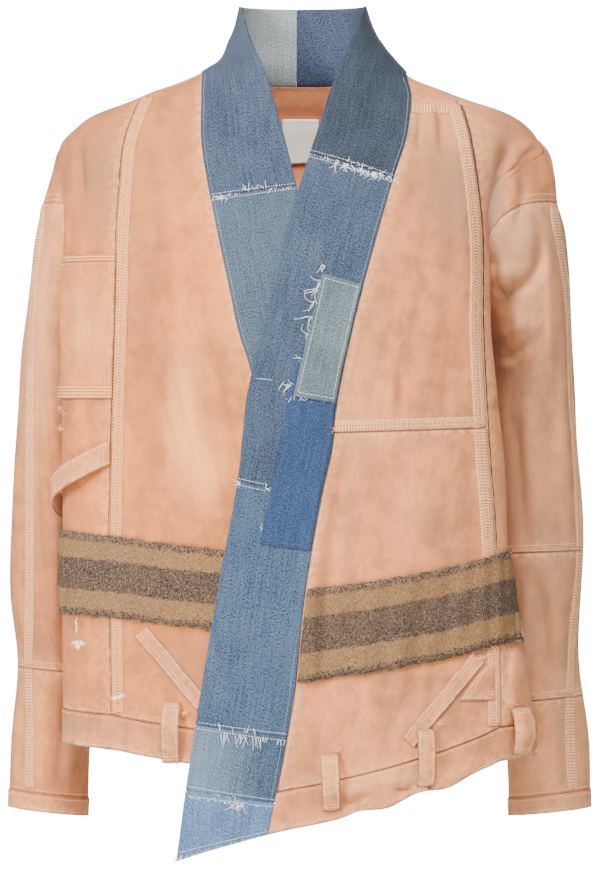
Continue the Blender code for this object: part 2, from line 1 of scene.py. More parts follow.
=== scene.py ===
"""Looks of the patched boro jacket: fine cloth on the solids' forms, with its folds, seams, threads and wear.

Metres, +Z up, in the frame's own axes: +X is the wearer's left and the chest faces -Y. A place on the
body is a turn (0 at the breastbone, 90 degrees at the wearer's left, 180 at the spine) and a height.
A place on a sleeve is its own turn (0 at the outside of the arm, 90 degrees at its front) and a height.
"""
import math
import bmesh
import bpy
import numpy as np
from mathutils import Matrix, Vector


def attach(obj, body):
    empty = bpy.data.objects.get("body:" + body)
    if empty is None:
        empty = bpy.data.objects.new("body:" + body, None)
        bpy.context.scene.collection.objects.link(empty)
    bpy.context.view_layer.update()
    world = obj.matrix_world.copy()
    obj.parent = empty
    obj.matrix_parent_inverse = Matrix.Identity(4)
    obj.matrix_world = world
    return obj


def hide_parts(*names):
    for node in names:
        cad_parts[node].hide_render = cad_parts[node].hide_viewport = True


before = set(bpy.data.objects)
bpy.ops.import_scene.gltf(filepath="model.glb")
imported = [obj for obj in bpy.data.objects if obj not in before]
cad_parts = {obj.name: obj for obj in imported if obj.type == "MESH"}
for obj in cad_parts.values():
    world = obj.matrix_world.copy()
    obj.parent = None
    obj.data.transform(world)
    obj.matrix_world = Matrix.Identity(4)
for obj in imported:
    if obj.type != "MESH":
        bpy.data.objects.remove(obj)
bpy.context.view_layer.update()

# ---- The two fronts ------------------------------------------------------------------------
# Washed cotton duck, cut from work trousers: on each side a middle panel and a side panel that runs
# on over the shoulder, joined by a felled seam. The wearer's left front laps over the right one.

RIGHT, LEFT = -1, 1
WORDS = {RIGHT: "right", LEFT: "left"}
CANVAS = 0.0015            # one layer of duck
GAP = 0.0003               # between two cuts that are sewn edge to edge
LAP = 0.0052               # how far the left front stands off where it passes over the right one
FELL_WIDTH = 0.0115        # a felled seam's raised strip
SEAM_WIDTH = 0.011         # that of the seams across the left front
FELL_SUNK = 0.0006         # how deep a strip's underside lies in the cloth under it
STRIP_ROW = 0.0020         # spacing of the rows along a felled strip
RIDGE_SPLIT = math.radians(0.1)     # how far each cloth stops short of the side seam and the ridge
NECK_SEAM_Z, COLLAR_TOP_Z = 0.006, 0.073
SLEEVE_SEAM_Z = -0.125     # top of the seam between the dropped shoulder and the sleeve
SEAM_SWEEP = 2.9           # how late that seam drops away towards the underarm
HIP_TURN, HIP_Z = math.radians(91), -0.45      # where the side line has come round to the side seam
ARMHOLE_RANGE = (-0.40, -0.045)     # heights between which the sleeve's lines come out of the body
VENT, VENT_TOP, VENT_FULL = math.radians(2.8), -0.59, -0.64     # the right side's slit, and where it opens
ARM_POINTS, MIDDLE_COLUMNS, SIDE_COLUMNS = 8, 6, 4      # steps of the solids' grids, round and across
FINE = 10                  # steps of the cloth's grid to one of the solid's
BODY_RADIUS, ARM_RADIUS = 0.13, 0.043     # for turning a turn into a distance over the cloth
SHOULDER_Z = (NECK_SEAM_Z, -0.004, -0.011, -0.018, -0.027, -0.044)
SHOULDER_ROW, YOKE_ROW, CROSS_SEAM = 3, 4, 2            # their rows at seams, the last below the armhole
FIRST_LOWER = len(SHOULDER_Z) + ARM_POINTS + 1
WAIST_ROW = FIRST_LOWER + 9


def columns(names, rows):
    """Turns a table's rows, in millimetres, into one array in metres for each column. Powers stay."""
    table = zip(names.split(), np.array(rows, float).T)
    return {name: values if name == "power" else values / 1000 for name, values in table}


BODY = columns("z left right front back middle power", [
    (-780, 234, -236, -116, 114, -34, 2.25),
    (-677, 232.5, -236, -115, 112, -38, 2.25),
    (-595, 223, -237, -115, 107, -44, 2.20),
    (-545, 212, -237, -117, 104, -48, 2.20),
    (-481, 203.5, -237, -119, 102, -50, 2.20),
    (-400, 200, -237, -125, 104, -51, 2.20),
    (-314, 192, -237, -131, 109, -51, 2.20),
    (-250, 187, -237, -132, 115, -43, 2.20),
    (-200, 187, -237, -128, 118, -30, 2.20),
    (-150, 194, -238, -120, 117, -16, 2.15),
    (-115, 207, -240, -110, 114, -4, 2.10),
    (-82, 228, -242, -99, 108, 5, 2.05),
    (-66, 235, -240, -92, 102, 8, 2.00),
    (-51, 226, -225.5, -86, 97, 9, 2.00),
    (-37, 205, -206, -79, 92, 10, 2.00),
    (-23, 165, -168, -70, 85, 11, 2.00),
    (-11, 135, -139.4, -62, 80, 12, 2.00),
    (0, 108.6, -111, -55, 75, 13, 2.00),
    (9, 100, -92, -50, 74, 15, 2.00),
    (40, 75, -70, -35, 78, 22, 2.00),
    (75, 61, -60, -20, 80, 30, 2.00)])
SLEEVES = {
    RIGHT: columns("z outer inner front back", [
        (-745, 294.5, 218.5, 34, 124),
        (-670, 292.4, 215.5, 28, 125),
        (-590, 285.5, 213.5, 21, 125),
        (-518, 292.4, 214, 16, 125),
        (-385, 288.6, 213.5, 10, 124),
        (-310, 284, 212.5, 8, 122),
        (-270, 281, 209, 3, 118),
        (-230, 275.5, 188, -20, 108),
        (-198, 271.4, 172, -32, 100),
        (-162, 266.6, 156, -40, 91),
        (-127, 259, 143, -40, 82),
        (-97, 250, 135, -34, 72),
        (-66, 238, 130, -24, 58),
        (-40, 200, 125, -12, 40)]),
    LEFT: columns("z outer inner front back", [
        (-745, 290.5, 210.5, 34, 124),
        (-667, 288.6, 207.5, 28, 124),
        (-575, 278, 200.5, 16, 123),
        (-467, 283, 196, 8, 122),
        (-344, 275, 193, -2, 120),
        (-289, 272, 192, -14, 116),
        (-252, 270, 187, -28, 110),
        (-220, 268, 174, -40, 105),
        (-186, 265.7, 158, -50, 98),
        (-145, 260.6, 145, -54, 89),
        (-125, 254.5, 138, -50, 82),
        (-97, 251.5, 133, -42, 72),
        (-66, 240, 130, -24, 58),
        (-40, 200, 125, -12, 40)])}
# The neckband's sewn edge and free edge, which the panels have to meet
BAND = {
    RIGHT: columns("seam_z seam_x free_x free_z", [
        (-8, -98.5, -52, 42),
        (-27, -99.3, -35, -1),
        (-67, -99, -18.8, -57),
        (-107, -92.8, -8.5, -98),
        (-167, -80.7, 3, -148),
        (-210, -71.3, 12.4, -192),
        (-254, -62, 20.7, -232),
        (-290, -50.6, 31.5, -267),
        (-370, -30, 55, -352),
        (-460, -14, 73, -450),
        (-560, -8, 80, -555),
        (-695, -6, 81, -694)]),
    LEFT: columns("seam_z seam_x free_x free_z", [
        (-8, 105.5, 51, 43),
        (-26, 108, 32, -3),
        (-67, 101.4, 18.3, -47),
        (-107, 87.8, 7, -83),
        (-179, 67, -15.8, -156),
        (-254, 48, -34, -234),
        (-325, 33.4, -52.7, -311),
        (-369, 29, -58, -356),
        (-421, 17.7, -63.5, -404),
        (-514, 3, -81.7, -504),
        (-600, -6.3, -95.6, -590),
        (-665, -16.8, -105.8, -653),
        (-721, -27.6, -114.3, -709),
        (-751, -33, -123.2, -778)])}
FELLED = {
    RIGHT: columns("z x", [(-680, -186), (-613, -187), (-440, -188), (-337, -186),
                           (-231, -183), (-116, -179), (-60, -173), (-18, -157)]),
    LEFT: columns("z x", [(-690, 194), (-600, 195), (-475, 189), (-446, 188),
                          (-375, 182), (-252, 176), (-145, 174), (-84, 168),
                          (-47, 161), (-18, 151)])}
LOWER_ROWS = {
    RIGHT: columns("band middle side", [
        (-300, -300, -300), (-321, -321, -321), (-355, -355, -355),
        (-398, -398, -398), (-437, -427, -425), (-476.4, -456.5, -450.6),
        (-515.4, -496.4, -491), (-554.4, -536.3, -531.3), (-607, -585, -580),
        (-660, -634.3, -628), (-695, -668, -661.4)]),
    LEFT: columns("band middle side", [
        (-295, -295, -295), (-325, -322, -322), (-354, -350, -350),
        (-400, -392, -390), (-455, -434, -432), (-509.5, -476, -473),
        (-555, -520, -516.5), (-600, -564, -560), (-655, -605.3, -601),
        (-709.6, -646.6, -642), (-751, -680, -672)])}
# Folds of the front, in millimetres: a soft ridge (height above 0) or trough from (x0, z0) to
# (x1, z1). width is half its width, and bow is how far its middle bends aside.
FRONT_FOLDS = [
    (-112, 70, -148, -330, 15, -3.3, 6), (-120, -300, -142, -470, 17, -4.8, -5),
    (-160, -110, -158, -300, 11, -2, 3), (-131, -345, -106, -454, 6, 3.3, 3),
    (-118, -350, -92, -455, 8, -2.2, 3), (-92, -270, -122, -440, 15, 3, 0),
    (-88, -395, -72, -430, 5, 2.2, 2), (-112, -20, -121, -78, 8, -2.8, 2),
    (-127, -22, -138, -62, 7, -1.7, 0), (-213, -48, -207, -106, 7, 5.1, -3),
    (-222, -66, -216, -122, 6, -4.8, 2), (-209, -100, -212, -190, 9, 2.4, 0),
    (-206, -340, -214, -440, 9, -2.5, 2), (-196, -420, -192, -470, 6, 2.1, 0),
    (-140, -560, -118, -640, 16, -3.6, 5), (-95, -560, -72, -625, 12, 2.4, 0),
    (-172, -640, -130, -662, 8, -1.8, 2), (-160, -612, -150, -650, 9, 2, 0),
    (118, -30, 114, -76, 4.5, -2.5, 0), (128, -30, 131, -70, 4, 1.8, 0), (137, -32, 139, -80, 5, -2, 0),
    (104, -44, 98, -140, 9, 2.1, 3), (150, -60, 160, -240, 12, 1.8, -4),
    (94, -200, 98, -330, 13, -2.2, 5), (132, -150, 126, -330, 16, 2, -4),
    (46, -372, 34, -462, 9, -3.9, 3), (62, -372, 66, -470, 10, 2.2, 0), (98, -290, 97, -344, 5, -1.8, 0),
    (88, -300, 86, -346, 4, 1.4, 0), (140, -300, 142, -344, 5, -1.4, 0),
    (120, -372, 126, -500, 15, 2, 6), (160, -360, 168, -480, 10, -1.8, -3),
    (20, -600, 16, -715, 10, -3, 3), (60, -600, 78, -690, 18, 2.7, 5), (105, -610, 84, -668, 9, -2, 3),
    (150, -600, 140, -640, 8, 1.7, 2), (205, -560, 214, -640, 7, 2, 2),
    (204, -60, 198, -150, 10, -6.3, 2), (190, -50, 186, -170, 10, 2.4, -2),
    (34, -706, 86, -712, 5, 3.9, 4), (88, -712, 128, -700, 5, -3.3, -3), (126, -700, 176, -678, 5, 2.8, 3),
    (-70, 60, -98, -24, 7, 2.5, 3), (-86, 30, -62, -90, 8, -2.2, -3), (-52, -20, -30, -110, 9, 1.7, 2),
    (80, 66, 104, 12, 5, 3, -3), (92, 20, 66, -64, 7, -2.4, 3), (60, 40, 44, -60, 9, 2, 0),
    (78, -40, 60, -120, 8, 1.5, 0), (-26, -300, -52, -420, 10, 1.5, 4), (-40, -520, -66, -690, 13, -1.8, 3),
    (-84, -700, -60, -770, 10, 2.1, 0)]
# Creases that run on from the body over the sleeves, listed in the same way: they push cloth to and fro
CREASES = [
    (240, -60, 198, -110, 8, 6.5, 4), (212, -72, 205, -146, 6, 6.0, 0), (224, -84, 214, -160, 6, -3.5, 2),
    (188, -212, 237, -166, 7, -8.5, 19), (192, -188, 226, -190, 6, 4.5, 8),
    (186, -178, 200, -196, 5, -4.0, 0), (186, -254, 198, -272, 5, -6.0, 0),
    (196, -292, 234, -266, 6, 6.5, 2), (206, -250, 240, -246, 7, 4.0, 3),
    (214, -292, 207, -440, 12, -4.0, 3), (228, -300, 226, -440, 9, 3.2, 0),
    (184, -309, 202, -313, 3, -3.0, 0), (184, -320, 202, -317, 3, 2.6, 0),
    (184, -332, 202, -330, 3, -3.2, 0), (183, -350, 197, -374, 3, 3.0, 0),
    (246, -150, 250, -300, 5, 3.0, 2), (222, -490, 202, -600, 6, -5.5, 4),
    (236, -486, 218, -606, 8, 4.0, 4), (248, -500, 240, -600, 6, -2.6, 2),
    (214, -620, 208, -700, 7, -3.4, 2), (236, -625, 244, -705, 8, 2.8, -3),
    (-270, -130, -276, -240, 5, 2.2, 0), (-266, -300, -268, -420, 6, -2.4, 3),
    (18, -440, 8, -612, 9, 5.0, 4), (32, -440, 22, -610, 8, -3.6, 4), (92, -520, 96, -628, 10, 2.4, -3),
    (40, -721, 88, -705, 4, -5.0, 0), (88, -705, 113, -710, 4, -5.0, 0), (206, -470, 216, -520, 5, -2.6, 0),
    (240, -530, 226, -598, 5, -2.2, 2), (-236, -78, -231, -126, 4, -4.5, 0),
    (-226, -70, -229, -150, 5, 3.2, 0), (-246, -120, -244, -200, 5, 2.2, 2),
    (-252, -150, -256, -300, 6, -2.2, 0), (-236, -330, -240, -440, 8, -3.0, 3),
    (-250, -420, -244, -560, 7, 2.6, -3), (-232, -470, -238, -560, 6, -2.8, 0),
    (-228, -620, -240, -700, 8, -3.0, 3), (-256, -610, -250, -700, 7, 2.2, 0)]
BACK_FOLDS = [
    (-150, -60, -128, -260, 17, 2.6, 5), (-118, -70, -104, -230, 14, -2.4, -4),
    (150, -55, 132, -240, 16, 2.4, -5), (112, -80, 104, -260, 15, -2.1, 4),
    (-40, -24, -70, -90, 14, -1.8, 4), (34, -22, 62, -96, 13, -2.0, -4), (0, -40, 4, -190, 18, 1.6, 3),
    (-176, -250, -120, -400, 13, -2.3, 8), (176, -240, 112, -380, 14, -2.6, -8),
    (-60, -260, -44, -520, 22, 2.2, 6), (52, -280, 66, -560, 20, 2.0, -6), (6, -330, -4, -610, 20, -1.9, 5),
    (-142, -400, -150, -620, 18, 1.9, -5), (146, -420, 152, -610, 17, 1.8, 5),
    (-100, -470, -96, -650, 14, -1.8, 3), (104, -500, 108, -650, 13, -1.7, -3),
    (-196, -330, -190, -520, 12, 1.6, 3), (192, -340, 190, -540, 12, 1.5, -3)]
# Fades, and painted highlights on fold ridges (amount above 0), and grime, and painted shade in troughs,
# hollows and sides turned from the light (below 0), as soft ovals on the front: centre and half sizes in
# millimetres
FADES_AND_SHADE = [
    (-190, -80, 56, 62, -0.42), (-208, -245, 24, 58, 0.44), (190, -132, 6, 42, -0.60),
    (208, -104, 5, 36, 0.50), (203, -178, 13, 22, -0.45), (222, -238, 14, 16, -0.25),
    (204, -221, 14, 6, -0.75), (228, -196, 7, 22, -0.60), (192, -262, 7, 9, -0.7), (215, -282, 20, 5, 0.20),
    (188, -327, 6, 3, -0.8), (-266, -220, 16, 120, 0.65), (-40, -200, 60, 90, -0.10),
    (-246, -560, 30, 60, -0.16), (-118, -345, 20, 70, 0.80), (-92, -392, 16, 36, 0.60),
    (-108, -300, 26, 80, 0.16), (-150, -250, 22, 140, -0.34), (-142, -354, 10, 48, -0.36),
    (-236, -106, 3, 13, -1.2), (-118, -60, 20, 60, -0.40), (-200, -110, 34, 70, -0.62),
    (-222, -290, 14, 120, 0.14), (-60, -250, 20, 60, 0.22), (-56, -420, 8, 44, 0.40),
    (-110, -585, 44, 34, -0.55), (-150, -640, 40, 12, -0.30), (100, -60, 24, 50, -0.30),
    (120, -200, 40, 90, -0.06), (60, -330, 30, 60, 0.16), (146, -110, 26, 60, -0.80),
    (196, -100, 13, 60, -0.62), (214, -90, 12, 50, -0.40), (44, -440, 7, 60, -0.30),
    (110, -430, 40, 50, 0.14), (20, -660, 10, 40, -0.26), (90, -640, 50, 26, 0.14),
    (84, -696, 60, 18, 0.55), (66, -712, 26, 2.5, -0.7), (100, -707, 14, 2.5, -0.7),
    (150, -620, 18, 16, -0.22), (174, -588, 9, 5, 0.45), (-250, -240, 14, 120, 0.16),
    (-232, -470, 14, 90, -0.50), (-262, -500, 12, 80, 0.12), (-234, -650, 16, 60, -0.50),
    (-276, -640, 12, 70, 0.10), (222, -150, 15, 24, -0.60), (212, -125, 5, 40, 0.50),
    (222, -250, 22, 30, -0.10), (214, -300, 16, 9, -0.3), (216, -330, 20, 44, -0.28),
    (214, -420, 20, 60, -0.62), (250, -330, 12, 110, -0.10), (254, -470, 14, 60, -0.30),
    (222, -540, 22, 46, -0.60), (222, -690, 16, 50, -0.30), (250, -610, 16, 60, -0.25)]


def smooth(table, name, z):
    """A cubic through a column, with slopes from its neighbours. Tables run upwards in z."""
    xs, ys = table["z"], table[name]
    slope = np.gradient(ys, xs)
    i = np.clip(np.searchsorted(xs, z) - 1, 0, len(xs) - 2)
    h = xs[i + 1] - xs[i]
    u = np.clip((z - xs[i]) / h, 0, 1)
    rise = 3 * u**2 - 2 * u**3
    return ((1 - rise) * ys[i] + rise * ys[i + 1]
            + (u**3 - 2 * u**2 + u) * h * slope[i] + (u**3 - u**2) * h * slope[i + 1])


def mix(a, b, share):
    """a where share is 0, b where it is 1, and evenly between them."""
    return a + (b - a) * share


def shares(count):
    """Even shares from 0 to 1."""
    return np.linspace(0, 1, count)


def matched(*values):
    """Values as arrays of one shape."""
    return np.broadcast_arrays(*(np.asarray(value, float) for value in values))


def step(low, high, value):
    """0 at low, 1 at high, with a smooth rise between them."""
    u = np.clip((value - low) / (high - low), 0, 1)
    return u * u * (3 - 2 * u)


def section(z):
    """The body's left, right, front and back, its middle's depth, and its power, at a height."""
    return [smooth(BODY, name, z) for name in ("left", "right", "front", "back", "middle", "power")]


def body(turn, z):
    """A superellipse at each height: x is the half width times sin(turn) ** (2 / power), and the
    depth goes with cos(turn) in the same way."""
    left, right, front, back, middle, power = section(z)
    s, c = np.sin(turn), np.cos(turn)
    x = (left + right) / 2 + (left - right) / 2 * np.sign(s) * np.abs(s) ** (2 / power)
    depth = np.where(c > 0, middle - front, back - middle)
    return np.stack([x, middle - depth * np.sign(c) * np.abs(c) ** (2 / power), z + 0 * x], -1)


def body_turn(point):
    """The turn of a point seen from its section's middle, and how far out it lies: 1 is on it."""
    left, right, front, back, middle, power = section(point[..., 2])
    u = (point[..., 0] - (left + right) / 2) / ((left - right) / 2)
    v = (middle - point[..., 1]) / np.where(point[..., 1] < middle, middle - front, back - middle)
    u, v = (np.sign(a) * np.abs(a) ** (power / 2) for a in (u, v))
    return np.arctan2(u, v), u * u + v * v


def front_turn(x, z):
    """The turn at which the front of the body passes x."""
    left, right, _, _, _, power = section(z)
    u = np.clip((x - (left + right) / 2) / ((left - right) / 2), -1, 1)
    return np.arcsin(np.sign(u) * np.abs(u) ** (power / 2))


def outward(surface, a, z):
    """Unit normal of a surface of two values: the cross product of its two slopes."""
    e = 0.004
    n = np.cross(surface(a + e, z) - surface(a - e, z), surface(a, z + e) - surface(a, z - e))
    return n / np.linalg.norm(n, axis=-1, keepdims=True)


def sleeve(side, turn, z):
    """An ellipse at each height, between the outer and inner, and the front and back, distances."""
    outer, inner, front, back = (smooth(SLEEVES[side], k, z) for k in ("outer", "inner", "front", "back"))
    return np.stack([side * ((outer + inner) / 2 + (outer - inner) / 2 * np.cos(turn)),
                     (front + back) / 2 - (back - front) / 2 * np.sin(turn), z + 0 * turn], -1)


def armhole(side, turn):
    """Height at which each line down the sleeve comes out of the body, by halving an interval."""
    low, high = (np.full(turn.shape, end) for end in ARMHOLE_RANGE)
    for _ in range(40):
        middle = (low + high) / 2
        out = body_turn(sleeve(side, turn, middle))[1] > 1
        low, high = np.where(out, middle, low), np.where(out, high, middle)
    return low


def arm_turns(side, fine=1):
    """Turns of the sleeve's lines: over the front to the underarm, and over the back to it."""
    every = np.radians(np.arange(90, 200))
    under = every[np.argmin(armhole(side, every))]
    split = math.radians(0.15)
    return (np.linspace(split, under - split, ARM_POINTS * fine + 1),
            np.linspace(-split, under - 2 * math.pi + split, ARM_POINTS * fine + 1))


def sleeve_seam(side, turn):
    """Height of the seam that joins the dropped shoulder to the sleeve."""
    under = armhole(side, arm_turns(side)[0][-1:])[0]
    share = ((1 - np.cos(turn)) / 2) ** SEAM_SWEEP
    return np.minimum(mix(SLEEVE_SEAM_Z, under, share), armhole(side, turn))


def felled_turn(side, z):
    """Turn of the long seam; above its top it is the shoulder ridge."""
    edge = side * (math.pi / 2 - RIDGE_SPLIT)
    turn = front_turn(smooth(FELLED[side], "x", z), z)
    return np.where(z > SHOULDER_Z[SHOULDER_ROW] - 1e-6, edge, turn)


def band_table(side):
    """The neckband's two edges as turns and heights, in close steps from its foot to the ridge."""
    b, ridge = BAND[side], side * math.pi / 2
    tops = {"seam_z": NECK_SEAM_Z, "free_z": COLLAR_TOP_Z}
    tops |= {"seam_x": body(ridge, NECK_SEAM_Z)[0], "free_x": body(ridge, COLLAR_TOP_Z)[0]}
    stations = {"z": np.arange(len(b["seam_z"]) + 1.0)}
    stations |= {name: np.append(b[name][::-1], top) for name, top in tops.items()}
    fine = np.linspace(0, stations["z"][-1], 12 * len(stations["z"]))
    line = {name: smooth(stations, name, fine) for name in tops}
    return {"z": line["seam_z"], "free_z": line["free_z"],
            "seam": front_turn(line["seam_x"], line["seam_z"]),
            "free": front_turn(line["free_x"], line["free_z"])}


def band_lines(side, heights, across):
    """Turns and heights across the neckband, from its sewn edge (0) to its free edge (1)."""
    table = band_table(side)
    names = ("seam", "free", "free_z")
    seam, free, free_z = (np.interp(heights, table["z"], table[name])[:, None] for name in names)
    return mix(seam, free, across), mix(heights[:, None], free_z, across)


def edge_turn(side, back, low=0.0):
    """Turn of the side seam or the shoulder ridge; each cloth stops half a gap short of it."""
    return side * (math.pi / 2 + low + (1 if back else -1) * RIDGE_SPLIT)


def finer(values):
    """Straight steps of the cloth's grid between values given for the solid's."""
    return np.interp(np.arange((len(values) - 1) * FINE + 1) / FINE, np.arange(len(values)), values)


def row_ends(side, back=False):
    """Each row's height at the band, at the long seam and at the outer edge, and its outer turn."""
    turns = arm_turns(side, FINE)[1 if back else 0]
    hole = armhole(side, turns)
    hole_turn = body_turn(sleeve(side, turns, hole))[0]
    level = np.linspace(hole[0], hole.min(), len(hole))
    lower = LOWER_ROWS[side]
    slit = VENT / 2 * step(VENT_TOP, VENT_FULL, lower["side"]) if side == RIGHT else 0.0
    hip = edge_turn(side, back, HIP_TURN - math.pi / 2) + (side if back else -side) * slit
    side_turn = mix(hole_turn[-1], hip, step(hole[-1], HIP_Z, lower["side"]))
    top = finer([*SHOULDER_Z, level[0]])[:-1]
    top_turn = finer([edge_turn(side, back)] * len(SHOULDER_Z) + [hole_turn[0]])[:-1]

    def joined(middle, name):
        """One line's heights from the neck to the hem."""
        below = finer([middle[-1], *lower[name]])[1:]
        return np.concatenate([top, middle, below])
    return {"band": joined(level, "band"), "middle": joined(level, "middle"), "outer": joined(hole, "side"),
            "outer_turn": np.concatenate([top_turn, hole_turn, finer([hole_turn[-1], *side_turn])[1:]])}


def row_at(cad_row):
    """The fine grid's row for one of the solid's rows."""
    return cad_row * FINE


def front_lines(side):
    """Turns and heights of one front's grid, from the band to the outer edge, split at the long seam."""
    rows = row_ends(side)
    band = band_lines(side, rows["band"], 0)[0][:, 0]
    long_seam = felled_turn(side, rows["middle"])
    a = shares(MIDDLE_COLUMNS * FINE + 1)
    b = shares(SIDE_COLUMNS * FINE + 1)
    turn = np.hstack([mix(band[:, None], long_seam[:, None], a),
                      mix(long_seam[:, None], rows["outer_turn"][:, None], b)[:, 1:]])
    z = np.hstack([mix(rows["band"][:, None], rows["middle"][:, None], a),
                   mix(rows["middle"][:, None], rows["outer"][:, None], b)[:, 1:]])
    return turn, z


def folds(table, a, z):
    """Each fold is its height times exp(-(distance / width) ** 2) from its bowed line, faded at its ends."""
    total = 0 * a + 0 * z
    for a0, z0, a1, z1, width, height, bow in np.array(table) / 1000:
        da, dz = a1 - a0, z1 - z0
        length = math.hypot(da, dz)
        t = ((a - a0) * da + (z - z0) * dz) / length**2
        d = ((a - a0) * dz - (z - z0) * da) / length - bow * 4 * t * (1 - t)
        total = total + height * np.exp(-(d / width) ** 2) * step(-0.12, 0.3, t) * step(1.12, 0.7, t)
    return total


def armhole_line(side, back):
    """The armhole's edge on the body: its heights, rising, and the turns there."""
    turns = arm_turns(side, 2)[back]
    hole = armhole(side, turns)
    order = np.argsort(hole)
    return hole[order], body_turn(sleeve(side, turns, hole))[0][order]


ARMHOLES = {side: (armhole_line(side, 0), armhole_line(side, 1)) for side in WORDS}


def from_armhole(side, turn, z):
    """Distance along the body's cloth from the armhole's line, in metres, near enough for fading the folds
    out.
    """
    gap = 10.0
    for heights, turns in ARMHOLES[side]:
        apart = np.abs((turn - np.interp(z, heights, turns) + math.pi) % (2 * math.pi) - math.pi)
        gap = np.minimum(gap, np.hypot(apart * BODY_RADIUS, np.maximum(heights[0] - z, 0)))
    return gap


RIPPLE = 0.0007            # height of the slow ripple of washed cloth
CREASE_END, FADE_AND_SHADE_END = (0.035, 0.0), (0.09, 0.04)       # depths over which the front's creases, and its fades and painted light and shade, die out


def relief(turn, z):
    """How far the body's cloth stands out of its plain form: its folds, and a slow ripple that is a
    product of sines. It dies out at the armholes, where the sleeves' cloth starts."""
    x = body(turn, z)[..., 0]
    facing = step(-0.15, 0.15, np.cos(turn))
    value = mix(folds(BACK_FOLDS, x, z), folds(FRONT_FOLDS, x, z), facing)
    value = value + RIPPLE * np.sin(47 * x + 8 * z + 2 * np.sin(13 * z)) * np.sin(19 * z + 11 * x)
    for side in WORDS:
        value = value * step(0.0, 0.016, from_armhole(side, turn, z))
    return value


def lap(turn, z):
    """How far the left front stands off, so that it passes over the right front and its band."""
    x = body(turn, z)[..., 0]
    return LAP * step(-0.03, -0.10, z) * step(0.15, 0.085, x)


def crumpled(points):
    """Moves the front's cloth forward by the creases, which both the body and the sleeves follow."""
    x, y, z = np.moveaxis(points, -1, 0)
    return points - np.array([0, 1, 0]) * (folds(CREASES, x, z) * step(*CREASE_END, y))[..., None]


def laid(turn, z, out, side=None):
    """Body points moved out along the normal by out, by the folds, and on the left by the lap."""
    turn, z = matched(turn, z)
    out = out + relief(turn, z)
    if side == LEFT:
        out = out + lap(turn, z)
    return crumpled(body(turn, z) + outward(body, turn, z) * (np.asarray(out) + 0 * z)[..., None])


def drawn_in(points, edges, gap=GAP / 2):
    """Pulls the named edges of a grid (top, bottom, start, end) in from the seam line."""
    points = points.copy()
    pairs = {"top": (points[0], points[1]), "bottom": (points[-1], points[-2]),
             "start": (points[:, 0], points[:, 1]), "end": (points[:, -1], points[:, -2])}
    for rim, beside in (pairs[edge] for edge in edges):
        way = beside - rim
        length = np.linalg.norm(way, axis=-1, keepdims=True)
        rim += way * np.minimum(gap / np.maximum(length, 1e-9), 0.5)
    return points


def lengths(points):
    """Distances over the cloth, along each row from its start and down each column from the top."""
    across = np.linalg.norm(np.diff(points, axis=1), axis=-1)
    down = np.linalg.norm(np.diff(points, axis=0), axis=-1)
    return (np.hstack([np.zeros((len(points), 1)), np.cumsum(across, 1)]),
            np.vstack([np.zeros((1, points.shape[1])), np.cumsum(down, 0)]))


STRIP_SEAM = 0.42      # how worn a felled strip is, which also marks it out for its puckers


def closeness(points, edges, reach):
    """1 at the named edges of a grid, falling as exp(-distance / reach)."""
    u, v = lengths(points)
    away = {"start": u, "end": u[:, -1:] - u, "top": v, "bottom": v[-1:] - v}
    near = [np.exp(-away[edge] / reach) for edge in edges]
    return np.max(near, axis=0) if near else 0 * u


def fades_and_shade_at(points):
    """The fades, dirt and painted light and shade on the front, each amount times exp(-(distance over half
    size) ** 2).
    """
    x, y, z = points[..., 0], points[..., 1], points[..., 2]
    total = 0 * x
    for x0, z0, half_x, half_z, amount in FADES_AND_SHADE:
        total += amount * np.exp(-((x * 1000 - x0) / half_x) ** 2 - ((z * 1000 - z0) / half_z) ** 2)
    return total * step(*FADE_AND_SHADE_END, y)


def area_of(points):
    """A grid's area, from the diagonals of its cells."""
    a, b = points[1:, 1:] - points[:-1, :-1], points[1:, :-1] - points[:-1, 1:]
    return float(np.linalg.norm(np.cross(a, b), axis=-1).sum() / 2)


def made_mesh(name, points, faces, *materials):
    """A smooth mesh."""
    mesh = bpy.data.meshes.new(name)
    mesh.from_pydata(points.reshape(-1, 3).tolist(), [], faces.tolist())
    mesh.shade_smooth()
    for material in materials:
        mesh.materials.append(material)
    return mesh


def painted(mesh, name, values):
    """Gives each of a mesh's points a number for its material to read."""
    held = mesh.attributes.get(name) or mesh.attributes.new(name, "FLOAT", "POINT")
    held.data.foreach_set("value", np.ravel(values).astype(np.float32))


def placed(name, data):
    """Puts an object into the scene."""
    piece = bpy.data.objects.new(name, data)
    bpy.context.scene.collection.objects.link(piece)
    return piece


MERGE = 0.00004            # grids of one sheet whose points are closer than this are joined


